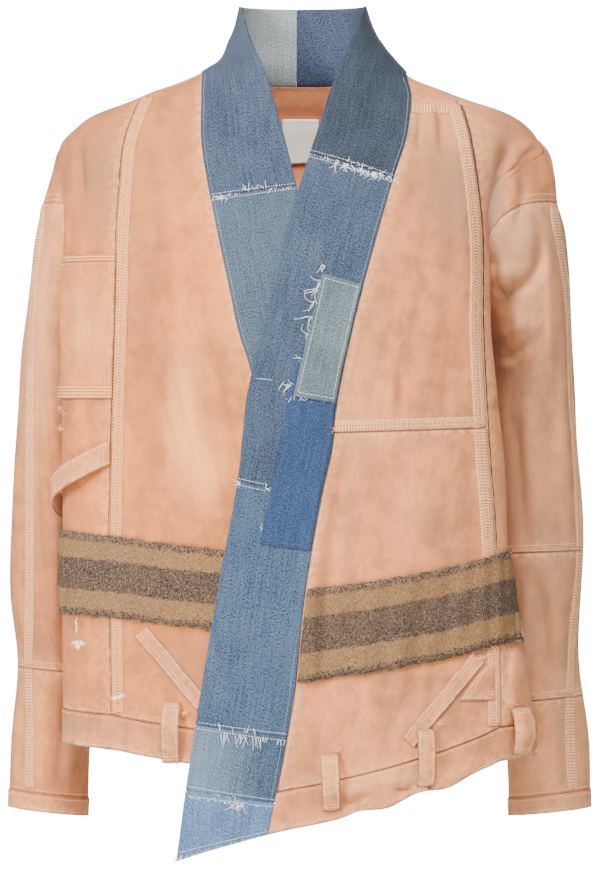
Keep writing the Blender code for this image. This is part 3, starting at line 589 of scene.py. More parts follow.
def cloth(name, grids, wall, materials, flip=False, extra=(), seams=(), inward=False,
          fades_and_shade=True, reach=0.007):
    """Sews grids of points into one sheet and gives it its wall. grids are the cut itself, side by
    side; extra grids, such as a felled strip, lie on it. seams names the grids' worn edges, which also take a
    painted shadow line."""
    points, faces, uvs, near = [], [], [], []
    for number, grid in enumerate([*grids, *extra]):
        rows, cols = grid.shape[:2]
        at = np.arange(rows * cols).reshape(rows, cols) + sum(len(p) for p in points)
        quads = np.stack([at[:-1, :-1], at[1:, :-1], at[1:, 1:], at[:-1, 1:]], -1).reshape(-1, 4)
        u, v = lengths(grid)
        faces.append(quads[:, ::-1] if flip else quads)
        points.append(grid.reshape(-1, 3))
        apart = 0.37 * number + 0.013 * len(name)       # keeps the grains of two cuts from matching
        uvs.append(np.stack([u + apart, -v], -1).reshape(-1, 2))
        worn = closeness(grid, () if number else seams, reach)
        near.append((worn if number < len(grids) else STRIP_SEAM + 0 * u).ravel())
    points, faces, uvs, near = np.vstack(points), np.vstack(faces), np.vstack(uvs), np.concatenate(near)
    mesh = made_mesh(name, points, faces, *materials)
    mesh.uv_layers.new(name="UVMap").data.foreach_set("uv", uvs[faces.ravel()].ravel().astype(np.float32))
    painted(mesh, "seam", near)
    painted(mesh, "tone", fades_and_shade_at(points) if fades_and_shade else 0 * near)
    sheet = bmesh.new()
    sheet.from_mesh(mesh)
    bmesh.ops.remove_doubles(sheet, verts=sheet.verts, dist=MERGE)
    sheet.to_mesh(mesh)
    sheet.free()
    piece = placed(name + "_cloth", mesh)
    solid = piece.modifiers.new("wall", "SOLIDIFY")
    solid.thickness = wall
    solid.offset = -1 if inward else 1
    solid.material_offset = len(materials) - 1
    across, down = zip(*map(lengths, grids))
    width = round(sum(np.quantile(row[:, -1], 0.85) for row in across), 3)
    length = round(max(column.max() for column in down), 3)
    area = min(sum(area_of(grid) for grid in grids), width * length)
    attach(piece, "root")
    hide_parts(name)
    return piece


class Value:
    """A number, colour or place that a material's nodes work out. Sums with it add Math nodes."""

    def __init__(self, socket):
        self.socket, self.tree = socket, socket.id_data

    def maths(self, operation, *others):
        """The outcome of a Math node on this value and others."""
        return node(self.tree, "Math", {0: self, **dict(enumerate(others, 1))}, operation=operation)

    def __add__(self, other):
        return self.maths("ADD", other)

    def __mul__(self, other):
        return self.maths("MULTIPLY", other)

    def __sub__(self, other):
        return self.maths("SUBTRACT", other)

    __radd__, __rmul__ = __add__, __mul__


def node(tree, kind, inputs=None, output=0, **settings):
    """Adds a shader node and gives one of its outputs; an input that is a Value is linked."""
    made = tree.nodes.new("ShaderNode" + kind)
    for key, value in settings.items():
        setattr(made, key, value)
    for key, value in (inputs or {}).items():
        if isinstance(value, Value):
            tree.links.new(value.socket, made.inputs[key])
        else:
            made.inputs[key].default_value = value
    return Value(made.outputs[output])


def new_material(name, roughness, sheen):
    """A Principled material with a dull surface, and its node tree."""
    material = bpy.data.materials.new(name)
    material.use_nodes = True
    surface = {"Roughness": roughness, "Specular IOR Level": 0.15, "Sheen Weight": sheen,
               "Sheen Roughness": 0.6}
    for key, value in surface.items():
        material.node_tree.nodes["Principled BSDF"].inputs[key].default_value = value
    return material, material.node_tree


def coated(material, colour, height=None, strength=0.8):
    """Gives a material its colour, and bumps from a height in metres."""
    tree = material.node_tree
    shader = tree.nodes["Principled BSDF"]
    tree.links.new(colour.socket, shader.inputs["Base Color"])
    if height is not None:
        bump = node(tree, "Bump", {"Height": height, "Distance": 1.0, "Strength": strength})
        tree.links.new(bump.socket, shader.inputs["Normal"])
    return material


def cloth_facts(tree):
    """A place in space and in the weave, how near a seam is (for its wear and painted shadow line), and the
    fades with painted light and shade.
    """
    facts = [node(tree, "TexCoord", output=name) for name in ("Object", "UV")]
    return facts + [node(tree, "Attribute", output="Fac", attribute_name=name) for name in ("seam", "tone")]


def blend(share, a, b):
    """Mixes two colours; the share is held between 0 and 1."""
    a, b = (colour if isinstance(colour, Value) else (*colour, 1) for colour in (a, b))
    return node(share.tree, "Mix", {0: share, 6: a, 7: b}, output=2, data_type="RGBA")


def noise(place, scale, detail, rough=0.5):
    """Noise with scale lumps to the metre; a pair of scales stretches it along the weave."""
    if isinstance(scale, tuple):
        place, scale = node(place.tree, "Mapping", {"Vector": place, "Scale": (*scale, 1)}), 1
    facts = {"Vector": place, "Scale": scale, "Detail": detail, "Roughness": rough}
    return node(place.tree, "TexNoise", facts)


def ramp(value, low, high):
    """0 where value is low, 1 where it is high."""
    return node(value.tree, "MapRange", {0: value, 1: low, 2: high}, clamp=True)


# Bleach marks low on the right side: centre and half sizes in millimetres, lean in degrees
BLEACH = [(-223.5, -545, 0.6, 9, 3), (-224.5, -562.5, 4.2, 1.9, -14), (-218.0, -563.0, 3.4, 1.5, 24),
          (-221.8, -566.0, 2.4, 3.0, 0), (-183.5, -616.5, 5.5, 2.2, -8), (-178.0, -614.0, 2.6, 1.8, 30)]
BLEACHED = (0.98, 0.76, 0.52)
SHAKE = 0.006          # how far the noise moves a mark's edge, in metres


def bleached(place):
    """1 inside any of the marks: each is a leaning oval whose edge a fine noise makes ragged."""
    tree, reach = place.tree, (SHAKE, 0, SHAKE)
    shaken = node(tree, "TexNoise", {"Vector": place, "Scale": 320.0, "Detail": 3.0}, output="Color")
    shaken = node(tree, "VectorMath", {0: shaken, 1: (0.5, 0.5, 0.5)}, operation="SUBTRACT")
    moved = node(tree, "VectorMath", {0: shaken, 1: reach, 2: place}, operation="MULTIPLY_ADD")
    inside = 0.0
    for x, z, half_x, half_z, lean in BLEACH:
        oval = {"Vector": moved, "Location": (x / 1000, 0, z / 1000), "Rotation": (0, math.radians(lean), 0),
                "Scale": (half_x / 1000, 1e6, half_z / 1000)}
        spot = node(tree, "Mapping", oval, vector_type="TEXTURE")
        far = node(tree, "VectorMath", {0: spot}, output="Value", operation="LENGTH")
        inside = ramp(far, 1.3, 0.55).maths("MAXIMUM", inside)
    return inside


RIB_PITCH = 0.0031     # the puckers between the stitches of a felled strip


def canvas_material(name, pale, deep, worn, grime_and_shade, marked=False):
    """Garment-washed duck: two tints in clouds, mottles and streaks, with layers of dirt, wear and painted
    light and shade
    over them: fades, painted shade in the hollows, seams worn pale on their puckers and darker between them,
    and a painted shadow line where two cuts meet."""
    material, tree = new_material(name, 0.9, 0.04)
    place, uv, seam, tone = cloth_facts(tree)
    mottle, streaks = noise(place, 48, 4, 0.62), noise(uv, (70, 9), 3, 0.6)
    speck, gather = noise(uv, (900, 160), 3, 0.7), noise(uv, (170, 170), 2, 0.5)
    rib = (node(tree, "SeparateXYZ", {0: uv}, output="Y") * (2 * math.pi / RIB_PITCH)).maths("SINE")
    strip = seam.maths("COMPARE", STRIP_SEAM, 0.004)
    share = ramp(noise(place, 9, 4, 0.6), 0.44, 0.56) * 0.36 + ramp(mottle, 0.44, 0.56) * 0.36
    colour = blend(share + ramp(streaks, 0.38, 0.60) * 0.28, deep, pale)
    layers = [
        # Tone below 0 paints grime and painted shade in hollows and on sides turned from the light; above 0
        # it paints fades and highlights on ridges
        (tone.maths("MINIMUM", 0.0) * -1.0 * (mottle + 0.5), grime_and_shade),
        (tone.maths("MAXIMUM", 0.0) * (streaks * 0.9 + 0.35), worn),
        (seam * ramp(gather, 0.30, 0.62) * 0.70, worn),
        (strip * ramp(rib, -0.2, 1.0), worn),
        # the strip is darker in the troughs between its puckers
        (strip * ramp(rib, 0.0, -0.8) * 0.75, grime_and_shade),
        (seam * ramp(gather, 0.50, 0.30) * 0.45, grime_and_shade),
        # a painted contact shadow: a thin dark line where two cuts meet
        (ramp(seam, 0.84, 0.93) * 0.62, tuple(0.5 * part for part in grime_and_shade)),
        (ramp(speck, 0.58, 0.38) * 0.34, grime_and_shade)]
    if marked:
        layers.append((bleached(place) * 0.75, BLEACHED))
    for share, tint in layers:
        colour = blend(share, colour, tint)
    bands = {"Vector": uv, "Scale": 390.0, "Distortion": 0.4, "Detail": 0.0}
    warp, weft = (node(tree, "TexWave", bands, output="Fac", bands_direction=way) for way in "XY")
    height = (warp + weft) * 0.00003 + speck * 0.00014
    height = height + noise(place, 26, 4, 0.55) * 0.0022 + gather * seam * 0.0012
    return coated(material, colour, height)


# Each dye lot of duck: its pale and deep tint, its worn seams and fades, and its grime and painted shade
canvas = canvas_material(
    "washed_canvas", (0.68, 0.218, 0.066), (0.31, 0.112, 0.042), (0.86, 0.39, 0.17), (0.25, 0.130, 0.072))
canvas_marked = canvas_material(
    "washed_canvas_bleached", (0.68, 0.194, 0.046), (0.31, 0.100, 0.031), (0.92, 0.36, 0.115),
    (0.27, 0.112, 0.044), marked=True)
canvas_inside = canvas_material(
    "canvas_inside", (0.78, 0.28, 0.125), (0.64, 0.215, 0.092), (0.84, 0.36, 0.18), (0.40, 0.15, 0.07))

arm_front, arm_back = ({side: arm_turns(side, FINE)[back] for side in WORDS} for back in (0, 1))


def shoulder(side, turns):
    """The dropped shoulder: rows down the armhole, columns from it out to the sleeve's seam."""
    share = shares(15)
    top, foot = armhole(side, turns)[:, None], sleeve_seam(side, turns)[:, None]
    return on_sleeve(side, turns[:, None] + 0 * share, mix(top, foot - GAP / 2, share))


# Folds of the sleeves, in degrees of turn and millimetres of height: (turn0, z0, turn1, z1, half
# width in mm, height in mm, bow in mm). 90 is the front of the arm and 0 its outside.
SLEEVE_FOLDS = {
    RIGHT: [(62, -130, 84, -330, 9, 2.4, 4), (110, -150, 118, -300, 8, -3.3, 3),
            (40, -90, 46, -210, 7, 1.8, 2), (70, -300, 60, -520, 10, -2.5, 5),
            (98, -330, 104, -560, 9, 2.1, -4), (120, -420, 108, -600, 8, -3, 4),
            (30, -360, 36, -560, 9, 2, 3), (74, -600, 96, -712, 9, 2.8, 4),
            (110, -610, 104, -710, 8, -3.3, -3), (52, -620, 44, -712, 8, -1.8, 2),
            (-40, -180, -50, -420, 12, 3, 6), (-90, -200, -84, -480, 13, -3, -5),
            (-60, -430, -72, -600, 10, 2.5, 5), (-110, -380, -100, -640, 11, 2.4, -4),
            (-30, -600, -50, -710, 9, -2.4, 3)],
    LEFT: [(78, -160, 132, -236, 8, -5.1, 10), (66, -140, 112, -208, 7, 3.9, 6),
           (96, -232, 132, -262, 8, 3.9, 5), (60, -230, 70, -190, 7, 2.7, 0),
           (84, -262, 138, -284, 7, -3.9, 5), (50, -160, 54, -460, 8, 3.2, 3),
           (74, -300, 70, -460, 11, -3.3, 4), (100, -300, 96, -470, 9, 2.1, -3),
           (124, -330, 112, -468, 8, -2.8, 3), (88, -482, 62, -600, 10, 3.4, 6),
           (104, -490, 76, -612, 8, -4.2, 5), (112, -520, 118, -612, 7, 2.2, 0),
           (46, -490, 40, -610, 8, -1.8, 2), (92, -626, 84, -712, 9, 2, 3),
           (60, -630, 66, -712, 9, -1.8, -3), (-44, -170, -56, -430, 12, 3, 6),
           (-92, -190, -86, -470, 13, -3.2, -5), (-70, -480, -60, -610, 10, 2.4, 4),
           (-112, -300, -104, -470, 11, 2.2, 4), (-36, -490, -60, -612, 9, -2.5, 3),
           (-80, -630, -76, -710, 9, 1.8, 2)]}


def arm_relief(side, turn, z):
    """The sleeve's folds, with turns as distances round the arm; they die out at the armhole."""
    wrapped = (turn + math.pi) % (2 * math.pi) - math.pi
    table = np.array(SLEEVE_FOLDS[side], float)
    table[:, [0, 2]] = np.radians(table[:, [0, 2]]) * ARM_RADIUS * 1000
    value = folds(table, wrapped * ARM_RADIUS, z)
    value = value + 0.0006 * np.sin(2 * turn + 31 * z + side) * np.sin(23 * z + 3 * np.sin(turn))
    return value * step(0.0, 0.018, armhole(side, turn) - z)


def on_sleeve(side, turn, z, out=0.0):
    """Sleeve points moved out along the normal by out and by the folds."""
    turn, z = matched(turn, z)
    normal = -side * outward(lambda a, h: sleeve(side, a, h), turn, z)
    return crumpled(sleeve(side, turn, z) + normal * (out + arm_relief(side, turn, z))[..., None])


FOLD_REACH, FOLD_PASSES = 8.0, 60   # how many columns the rounding of the armhole's fold takes in


def softened(points, at, rows):
    """Rounds the fold at a column: each pass moves a point part of the way to its neighbours' middle."""
    points = points.copy()
    weight = np.exp(-((np.arange(points.shape[1]) - at) / FOLD_REACH) ** 2)[None, 1:-1] * rows[:, None]
    for _ in range(FOLD_PASSES):
        between = (points[:, 2:] + points[:, :-2]) / 2
        points[:, 1:-1] += (between - points[:, 1:-1]) * 0.8 * weight[..., None]
    return points


def with_shoulder(panel, side, turns, first):
    """Joins a panel's columns, ending at the armhole, to the dropped shoulder's, and softens the fold."""
    cap = shoulder(side, turns)
    hole = panel[first:first + len(turns)]
    joined = np.concatenate([hole, cap[:, 1:]], axis=1)
    share = shares(len(turns))
    joined = softened(joined, hole.shape[1] - 1, step(0.0, 0.06, share) * step(1.0, 0.8, share))
    panel = panel.copy()
    panel[first:first + len(turns)] = joined[:, :hole.shape[1]]
    return panel, joined[:, hole.shape[1] - 1:]


PUCKER = 0.00028           # height of a felled strip's puckers


def ladder(along, across):
    """The puckers of a felled strip: a sine along it of uneven pitch, highest in the strip's middle."""
    return PUCKER * np.sin(along * 1080 + 3 * np.sin(along * 170)) * (0.35 + np.sin(math.pi * across))


def felled_lines(side, z, across):
    """Turns and heights on the raised strip of a felled seam, on the middle panel's side of the line."""
    wander = 0.0002 * np.sin(z * 410)
    x = smooth(FELLED[side], "x", z) - side * (FELL_WIDTH * across + wander * (across > 0.5))
    return front_turn(x, z), z + 0 * x


def felled_strip(side, low, high):
    """The raised strip of a long seam, as a grid down it and six points across."""
    z, across = np.arange(high, low, -STRIP_ROW)[:, None], np.linspace(1, 0, 6)
    return laid(*felled_lines(side, z, across), CANVAS - FELL_SUNK + ladder(z, across), side)


def seam_lines(path, share, across, above):
    """The x and z of a felled strip across a front between two places, above or below their line."""
    (x0, z0), (x1, z1) = path
    return mix(x0, x1, share) + 0 * across, mix(z0, z1, share) + (across if above else -across) * SEAM_WIDTH


def seam_strip(path, above=True):
    """The raised strip of a seam across the left front, as a grid along it and five points across."""
    share, across = np.arange(0, 1.0001, STRIP_ROW / (path[1][0] - path[0][0])), np.linspace(1, 0, 5)[:, None]
    x, z = seam_lines(path, share, across if above else across[::-1], above)
    return laid(front_turn(x, z), z, CANVAS - FELL_SUNK + ladder(x, across), LEFT).transpose(1, 0, 2)[:, ::-1]


SIDE_TUCK = 0.0008      # how far the fronts run under the back at the side seams
RIDGE_EASE = 0.0012     # how far the side panel's edge moves out at the shoulder ridge
LONG_SEAM_SINK = {RIGHT: 0.0007, LEFT: 0.0014}      # how far its edge dips behind the felled seam
LONG_SEAM_WEAR_AND_SHADE = {RIGHT: 0.009, LEFT: 0.014}        # how far the wear, and the painted shadow line along it, reach from that seam
# Where the yoke's seam and the seam across the left front run, from (x, z) to (x, z)
YOKE_LINE, CROSS_LINE = ((0.108, -0.0275), (0.153, -0.0275)), ((0.031, -0.3535), (0.178, -0.3495))
front_grids = {side: front_lines(side) for side in WORDS}
for side, word in WORDS.items():
    points = laid(*front_grids[side], 0.0, side)
    waist, seam, first = row_at(WAIST_ROW), MIDDLE_COLUMNS * FINE, row_at(SHOULDER_ROW)
    middle, flank = points[:waist + 1, :seam + 1], points[first:waist + 1, seam:].copy()
    near_ridge = step(1.2 * FINE, 0, np.arange(len(flank)))
    flank[:, 0, 0] += side * RIDGE_EASE * near_ridge
    flank[:, 0, 1] += LONG_SEAM_SINK[side]
    flank, cap = with_shoulder(flank, side, arm_front[side], row_at(len(SHOULDER_Z) - SHOULDER_ROW))
    outside = canvas_marked if side == RIGHT else canvas
    flank = drawn_in(drawn_in(flank, ("start", "bottom")), ("end",), -SIDE_TUCK)
    cloth(f"front_{word}_side", [flank, cap], CANVAS, (outside, canvas_inside),
          flip=side == RIGHT, seams=("start", "bottom"), reach=LONG_SEAM_WEAR_AND_SHADE[side])
    yoke, cross = row_at(YOKE_ROW), row_at(FIRST_LOWER + CROSS_SEAM)
    cuts = {RIGHT: [("middle", 0, waist, [felled_strip(RIGHT, -0.633, -0.022)])],
            LEFT: [("yoke", 0, yoke, []),
                   ("upper", yoke, cross, [felled_strip(LEFT, -0.349, -0.028),
                                           seam_strip(YOKE_LINE, above=False), seam_strip(CROSS_LINE)]),
                   ("lower", cross, waist, [felled_strip(LEFT, -0.645, -0.351)])]}
    for name, low, high, extra in cuts[side]:
        edges = ("end", "bottom", "top") if low else ("end", "bottom")
        cloth(f"front_{word}_{name}", [drawn_in(middle[low:high + 1], edges)], CANVAS,
              (outside, canvas_inside), flip=side == RIGHT, seams=("start", *edges), extra=extra)

# ---- The back --------------------------------------------------------------------------------
# One wide piece of the same duck, running on over both shoulders, with a felled seam down the spine
# where two trouser legs were joined, and a lighter inside that shows through the neck.

BACK_SEAM_WIDTH = 0.012
BACK_COLUMNS = 14
COLLAR_DROP, BACK_SAG = 0.012, 0.010      # how far the neck seam and the hem dip at the middle
# A greyer copy of the duck, tinted for the parts that lie in shade: the back, its waistband and the left
# sleeve. Painted shade.
canvas_shade_tint = canvas_material(
    "washed_canvas_shade_tint", (0.63, 0.252, 0.097), (0.33, 0.145, 0.066), (0.80, 0.37, 0.175),
    (0.26, 0.142, 0.080))


def back_lines():
    """Turns and heights of the back's grid, from the wearer's left edge to the right one."""
    left, right = row_ends(LEFT, back=True), row_ends(RIGHT, back=True)
    a = shares(BACK_COLUMNS * FINE + 1)
    turn = mix(left["outer_turn"][:, None], right["outer_turn"][:, None] % (2 * math.pi), a)
    sag = COLLAR_DROP * step(-0.06, NECK_SEAM_Z, left["middle"])
    sag = sag + BACK_SAG * step(-0.3, -0.68, left["middle"])
    ends = [mix(side["middle"][:, None], side["outer"][:, None], e) for side, e in
            ((left, step(0.25, 0.0, a)), (right, step(0.75, 1.0, a)))]
    return turn, mix(ends[0], ends[1], step(0, 1, a)) - sag[:, None] * np.sin(math.pi * a)


back_turn, back_z = back_lines()
panel = laid(back_turn, back_z, 0.0)[:row_at(WAIST_ROW) + 1]
hole_row = row_at(len(SHOULDER_Z))
mirrored, cap_right = with_shoulder(panel, RIGHT, arm_back[RIGHT], hole_row)
panel, cap_left = with_shoulder(mirrored[:, ::-1], LEFT, arm_back[LEFT], hole_row)
panel = panel[:, ::-1]
spine_z, spine_share = np.arange(-0.030, -0.645, -STRIP_ROW)[:, None], shares(6)


def spine_turn(across):
    """The turn across the spine's strip, whose width is a distance over the cloth."""
    return math.pi + (across - 0.5) * BACK_SEAM_WIDTH / BODY_RADIUS


spine = laid(spine_turn(spine_share), spine_z, CANVAS - FELL_SUNK + ladder(spine_z, spine_share))
cloth("back", [drawn_in(panel, ("bottom",)), cap_left[:, ::-1], cap_right], CANVAS,
      (canvas_shade_tint, canvas_inside), seams=("top", "bottom"), extra=[spine], fades_and_shade=False)


# ---- The sleeves -----------------------------------------------------------------------------
# Tubes pieced from trouser legs: seams run round them, a felled seam runs down the outside of the
# front, and the cuff is the leg's own hem, turned up once and stitched.

HEM = 0.0026               # doubled duck, in the cuffs and the waistbands
SLEEVE_LENGTHS = {
    RIGHT: (("upper", -0.590), ("lower", -0.714), ("cuff", -0.732)),
    LEFT: (("upper", -0.473), ("middle", -0.619), ("lower", -0.714), ("cuff", -0.732))}
CUFF_TILT = 0.009          # how much lower the inside of a cuff hangs than its outside
SLEEVE_ROW = 0.0042        # spacing of the cloth's rows
# Where the outer felled strip's outer edge runs: height and x
SLEEVE_FELLS = {
    RIGHT: columns("z x", [(-715, -277.5), (-590, -276.5), (-420, -277.5), (-300, -275),
                           (-200, -269), (-130, -260)]),
    LEFT: columns("z x", [(-715, 276), (-600, 272), (-473, 280), (-300, 269),
                          (-200, 264), (-130, 253)])}
FELL_TURN = 0.0125 / 0.044      # the strip's width over the arm's radius


def tilt(foot, turns):
    """How far a length's foot drops towards the inside of the arm: half of 1 - cos(turn), more for the
    lengths nearer the hand."""
    return CUFF_TILT * step(-0.3, -0.73, foot) * (1 - np.cos(turns)) / 2


def sleeve_fell(side, z, across, out=0.0):
    """Points on a strip a set distance wide, down the front of the outer arm from its x at each height."""
    outer, inner = (smooth(SLEEVES[side], k, z) for k in ("outer", "inner"))
    reach = (np.abs(smooth(SLEEVE_FELLS[side], "x", z)) - (outer + inner) / 2) / ((outer - inner) / 2)
    turn = np.arccos(np.clip(reach, -1, 1)) + across * FELL_TURN
    return on_sleeve(side, turn, z, CANVAS - FELL_SUNK + ladder(z, across) + out)


for side, word in WORDS.items():
    front, rear = arm_front[side], arm_back[side]
    turns = np.concatenate([front[:-1], [(front[-1] + rear[-1] % (2 * math.pi)) / 2],
                            rear[-2:0:-1] % (2 * math.pi), [front[0] + 2 * math.pi]])
    top = np.minimum(sleeve_seam(side, turns) - GAP, armhole(side, turns))
    for name, foot in SLEEVE_LENGTHS[side]:
        low = foot - tilt(foot, turns)
        rows = max(8, round((top.mean() - foot) / SLEEVE_ROW))
        z = mix(top, low + GAP / 2, shares(rows + 1)[:, None])
        fell_z = np.arange(max(top[0], top[20]) - 0.001, foot + 0.001, -STRIP_ROW)[:, None]
        fell = [] if name == "cuff" else [sleeve_fell(side, fell_z, shares(6))]
        wall, slot = (HEM, "canvas_dark") if name == "cuff" else (CANVAS, "canvas")
        worn = {"lower": ("top",), "cuff": ("bottom",)}.get(name, ("top", "bottom"))
        # the left sleeve, which lies in shade, takes the greyer shade-tinted duck: painted shade
        cloth(f"sleeve_{word}_{name}", [on_sleeve(side, turns + 0 * z, z)], wall,
              (canvas_shade_tint if side == LEFT else canvas, canvas_inside), flip=side == LEFT, seams=worn,
              extra=fell)
        top = low - GAP / 2


# ---- The neckband ----------------------------------------------------------------------------
# Old denim from several pairs of jeans, folded double and pieced end to end: it runs from the right
# hem up round the neck and down past the left hem. Its joins are left raw, so they fray.

DENIM = 0.0030             # the doubled band
BAND_PIECES = {
    RIGHT: (("band_right_upper", "indigo"), -0.1232, ("band_right_lower", "grey_blue")),
    LEFT: (("band_left_upper", "indigo_grey"), -0.1053, ("band_left_middle", "mid_blue"), -0.419,
           ("band_left_lower", "mid_blue_low"), -0.6546, ("band_left_hem", "grey_blue_hem"), -0.7196,
           ("band_left_tip", "indigo_tip"))}
# Each denim: dark and pale yarn, how far it has faded, how much the fading varies, its sheen, its slot
DENIMS = {
    "indigo": ((0.006, 0.011, 0.026), (0.069, 0.094, 0.138), 0.36, 0.24, "indigo"),
    "indigo_grey": ((0.003, 0.006, 0.011), (0.042, 0.058, 0.082), 0.34, 0.20, "indigo"),
    "indigo_tip": ((0.017, 0.040, 0.091), (0.137, 0.219, 0.360), 0.44, 0.30, "indigo"),
    "mid_blue": ((0.005, 0.011, 0.022), (0.068, 0.099, 0.148), 0.38, 0.24, "mid_blue"),
    "mid_blue_low": ((0.006, 0.013, 0.027), (0.076, 0.122, 0.190), 0.40, 0.20, "mid_blue"),
    "grey_blue": ((0.014, 0.024, 0.042), (0.088, 0.121, 0.152), 0.42, 0.24, "grey_blue"),
    "grey_blue_hem": ((0.014, 0.027, 0.051), (0.130, 0.186, 0.241), 0.46, 0.30, "grey_blue"),
    "pale_grey": ((0.095, 0.110, 0.115), (0.328, 0.351, 0.345), 0.50, 0.16, "pale_grey"),
    "patch_blue": ((0.006, 0.014, 0.042), (0.042, 0.076, 0.153), 0.32, 0.14, "bright_blue"),
    "bright_blue": ((0.005, 0.011, 0.025), (0.069, 0.088, 0.140), 0.38, 0.20, "bright_blue"),
    "sage": ((0.022, 0.034, 0.040), (0.136, 0.176, 0.183), 0.44, 0.44, "sage")}

TWILL_LEAN = 62        # the twill line's lean from the weft, in degrees


def denim_material(name, dark, pale, faded, patchy):
    """Worn denim: slubby white flecks along the warp, a slanting twill line, and slow pale patches."""
    material, tree = new_material("denim_" + name, 0.88, 0.04)
    place, uv, seam, tone = cloth_facts(tree)
    slub, fleck = noise(uv, (1350, 520), 2, 0.7), noise(uv, (1600, 1150), 2, 0.8)
    slant = node(tree, "Mapping", {"Vector": uv, "Rotation": (0, 0, math.radians(TWILL_LEAN))})
    twill = node(tree, "TexWave", {"Vector": slant, "Scale": 260.0, "Distortion": 1.2, "Detail": 2.0,
                                   "Detail Scale": 2.0}, output="Fac")
    share = ramp(noise(place, 20, 3), 0.3, 0.7) * patchy + (faded - 0.5 * patchy)
    for grain, gain in ((slub, 5.0), (fleck, 4.0), (noise(uv, (480, 26), 3, 0.6), 1.3), (twill, 0.30)):
        share = share + (grain - 0.5) * gain
    share = share + tone + seam * (ramp(fleck, 0.40, 0.60) - 0.30) * 0.42
    height = slub * 0.00028 + twill * 0.00006 + noise(place, 60, 3) * 0.0007 + fleck * seam * 0.0009
    return coated(material, blend(share, dark, pale), height)


denims = {name: denim_material(name, *facts[:4]) for name, facts in DENIMS.items()}
TUCK = 0.0004              # how far a band's sewn edge lies over the cloth
HEM_TONES = (0.30, -0.55)  # how much paler and darker the hem is from its right end to its left one
COLLAR_JOIN_X, COLLAR_OVERRUN = -0.005, 0.003       # its join behind the neck, and its ends over the ridges


def band_grid(side, top, low):
    """A length of the neckband between two heights of its sewn edge, in rows about 3.6 mm apart."""
    heights = np.linspace(top, low, max(3, round((top - low) / 0.0036)) + 1)
    return laid(*band_lines(side, heights, np.linspace(0.0, 1.0, 22)), 0.0, side)


def denim_cloth(name, grids, colour, wall=DENIM, flip=False, *, seams):
    """A sheet of denim whose sharp edges are rounded."""
    piece = cloth(name, grids, wall, (denims[colour],), flip=flip, seams=seams, fades_and_shade=False)
    rounded = piece.modifiers.new("edge", "BEVEL")
    rounded.width = wall * 0.3
    rounded.segments = 2
    rounded.limit_method = "ANGLE"
    rounded.angle_limit = math.radians(60)
    return piece


for side in WORDS:
    pieces = BAND_PIECES[side]
    foot = LOWER_ROWS[side]["band"][-1]
    cuts = [NECK_SEAM_Z, *pieces[1::2], foot]
    for (name, colour), top, low in zip(pieces[::2], cuts, cuts[1:]):
        edges = ("start", "end", "bottom") if name in ("band_left_tip", "band_left_hem") else ("start", "end")
        grid = drawn_in(band_grid(side, top, low), ("start",), -TUCK)
        piece = denim_cloth(name, [grid], colour, flip=side == LEFT, seams=edges)
        if name == "band_left_hem":
            places = np.empty(3 * len(piece.data.vertices))
            piece.data.vertices.foreach_get("co", places)
            paler = mix(*HEM_TONES, step(places[::3].min(), places[::3].max(), places[::3]))
            painted(piece.data, "tone", paler)
collar_turn, collar_z = back_turn[0], back_z[0]
rise = np.linspace(1, 0, 24)[:, None]
join = math.pi - front_turn(COLLAR_JOIN_X, mix(collar_z[len(collar_z) // 2], COLLAR_TOP_Z, rise))
for name, colour, start, end in (("band_back_left", "bright_blue", collar_turn[0] - COLLAR_OVERRUN, join),
                                 ("band_back_right", "pale_grey", join, collar_turn[-1] + COLLAR_OVERRUN)):
    turn = mix(start, end, shares(60))
    z = mix(np.interp(turn, collar_turn, collar_z) - TUCK, COLLAR_TOP_Z, rise)
    denim_cloth(name, [laid(turn, z, 0.0)], colour, seams=("top",))


# ---- Patches on the neckband -----------------------------------------------------------------
# Two thin denim patches sewn on the left band: a long indigo one, and over its top a sage one whose
# cut edge has frayed down its inner side and along its foot.

PATCH = 0.0009             # one thin layer
LAY = 0.0005               # between a cloth and one sewn flat on it
PATCH_STEP = (-0.25, -0.275)        # the heights over which the upper patch climbs onto the lower one
# Name, denim, top and foot, share of the band's width, and how far it lies over the other patch
PATCH_PLACES = (("patch_indigo", "patch_blue", -0.291, -0.471, 0.58, 0.0),
                ("patch_sage", "sage", -0.2103, -0.3255, 0.52, PATCH + LAY))
for name, colour, top, low, width, lift in PATCH_PLACES:
    heights = np.linspace(top, low, round((top - low) / 0.003) + 1)
    turn, z = band_lines(LEFT, heights, np.linspace(0.02, width, 16))
    grid = laid(turn, z, DENIM + LAY + lift * step(*PATCH_STEP, z), LEFT)
    denim_cloth(name, [grid], colour, PATCH, flip=True,
                seams=("start", "end", "top", "bottom") if colour == "sage" else ("start",))


# ---- Blanket strips --------------------------------------------------------------------------
# A felted wool blanket's striped border, cut across and sewn flat on each front at the waist; its
# long cut edges are overcast with mixed yarn and have gone hairy.

BLANKET = 0.0025
BLANKET_TOP, BLANKET_FOOT = 5, 7            # the rows of the fronts that the strips lie between
STRIPES = (0.075, 0.300, 0.690, 0.920)      # where camel, heather, camel and the lower edge start


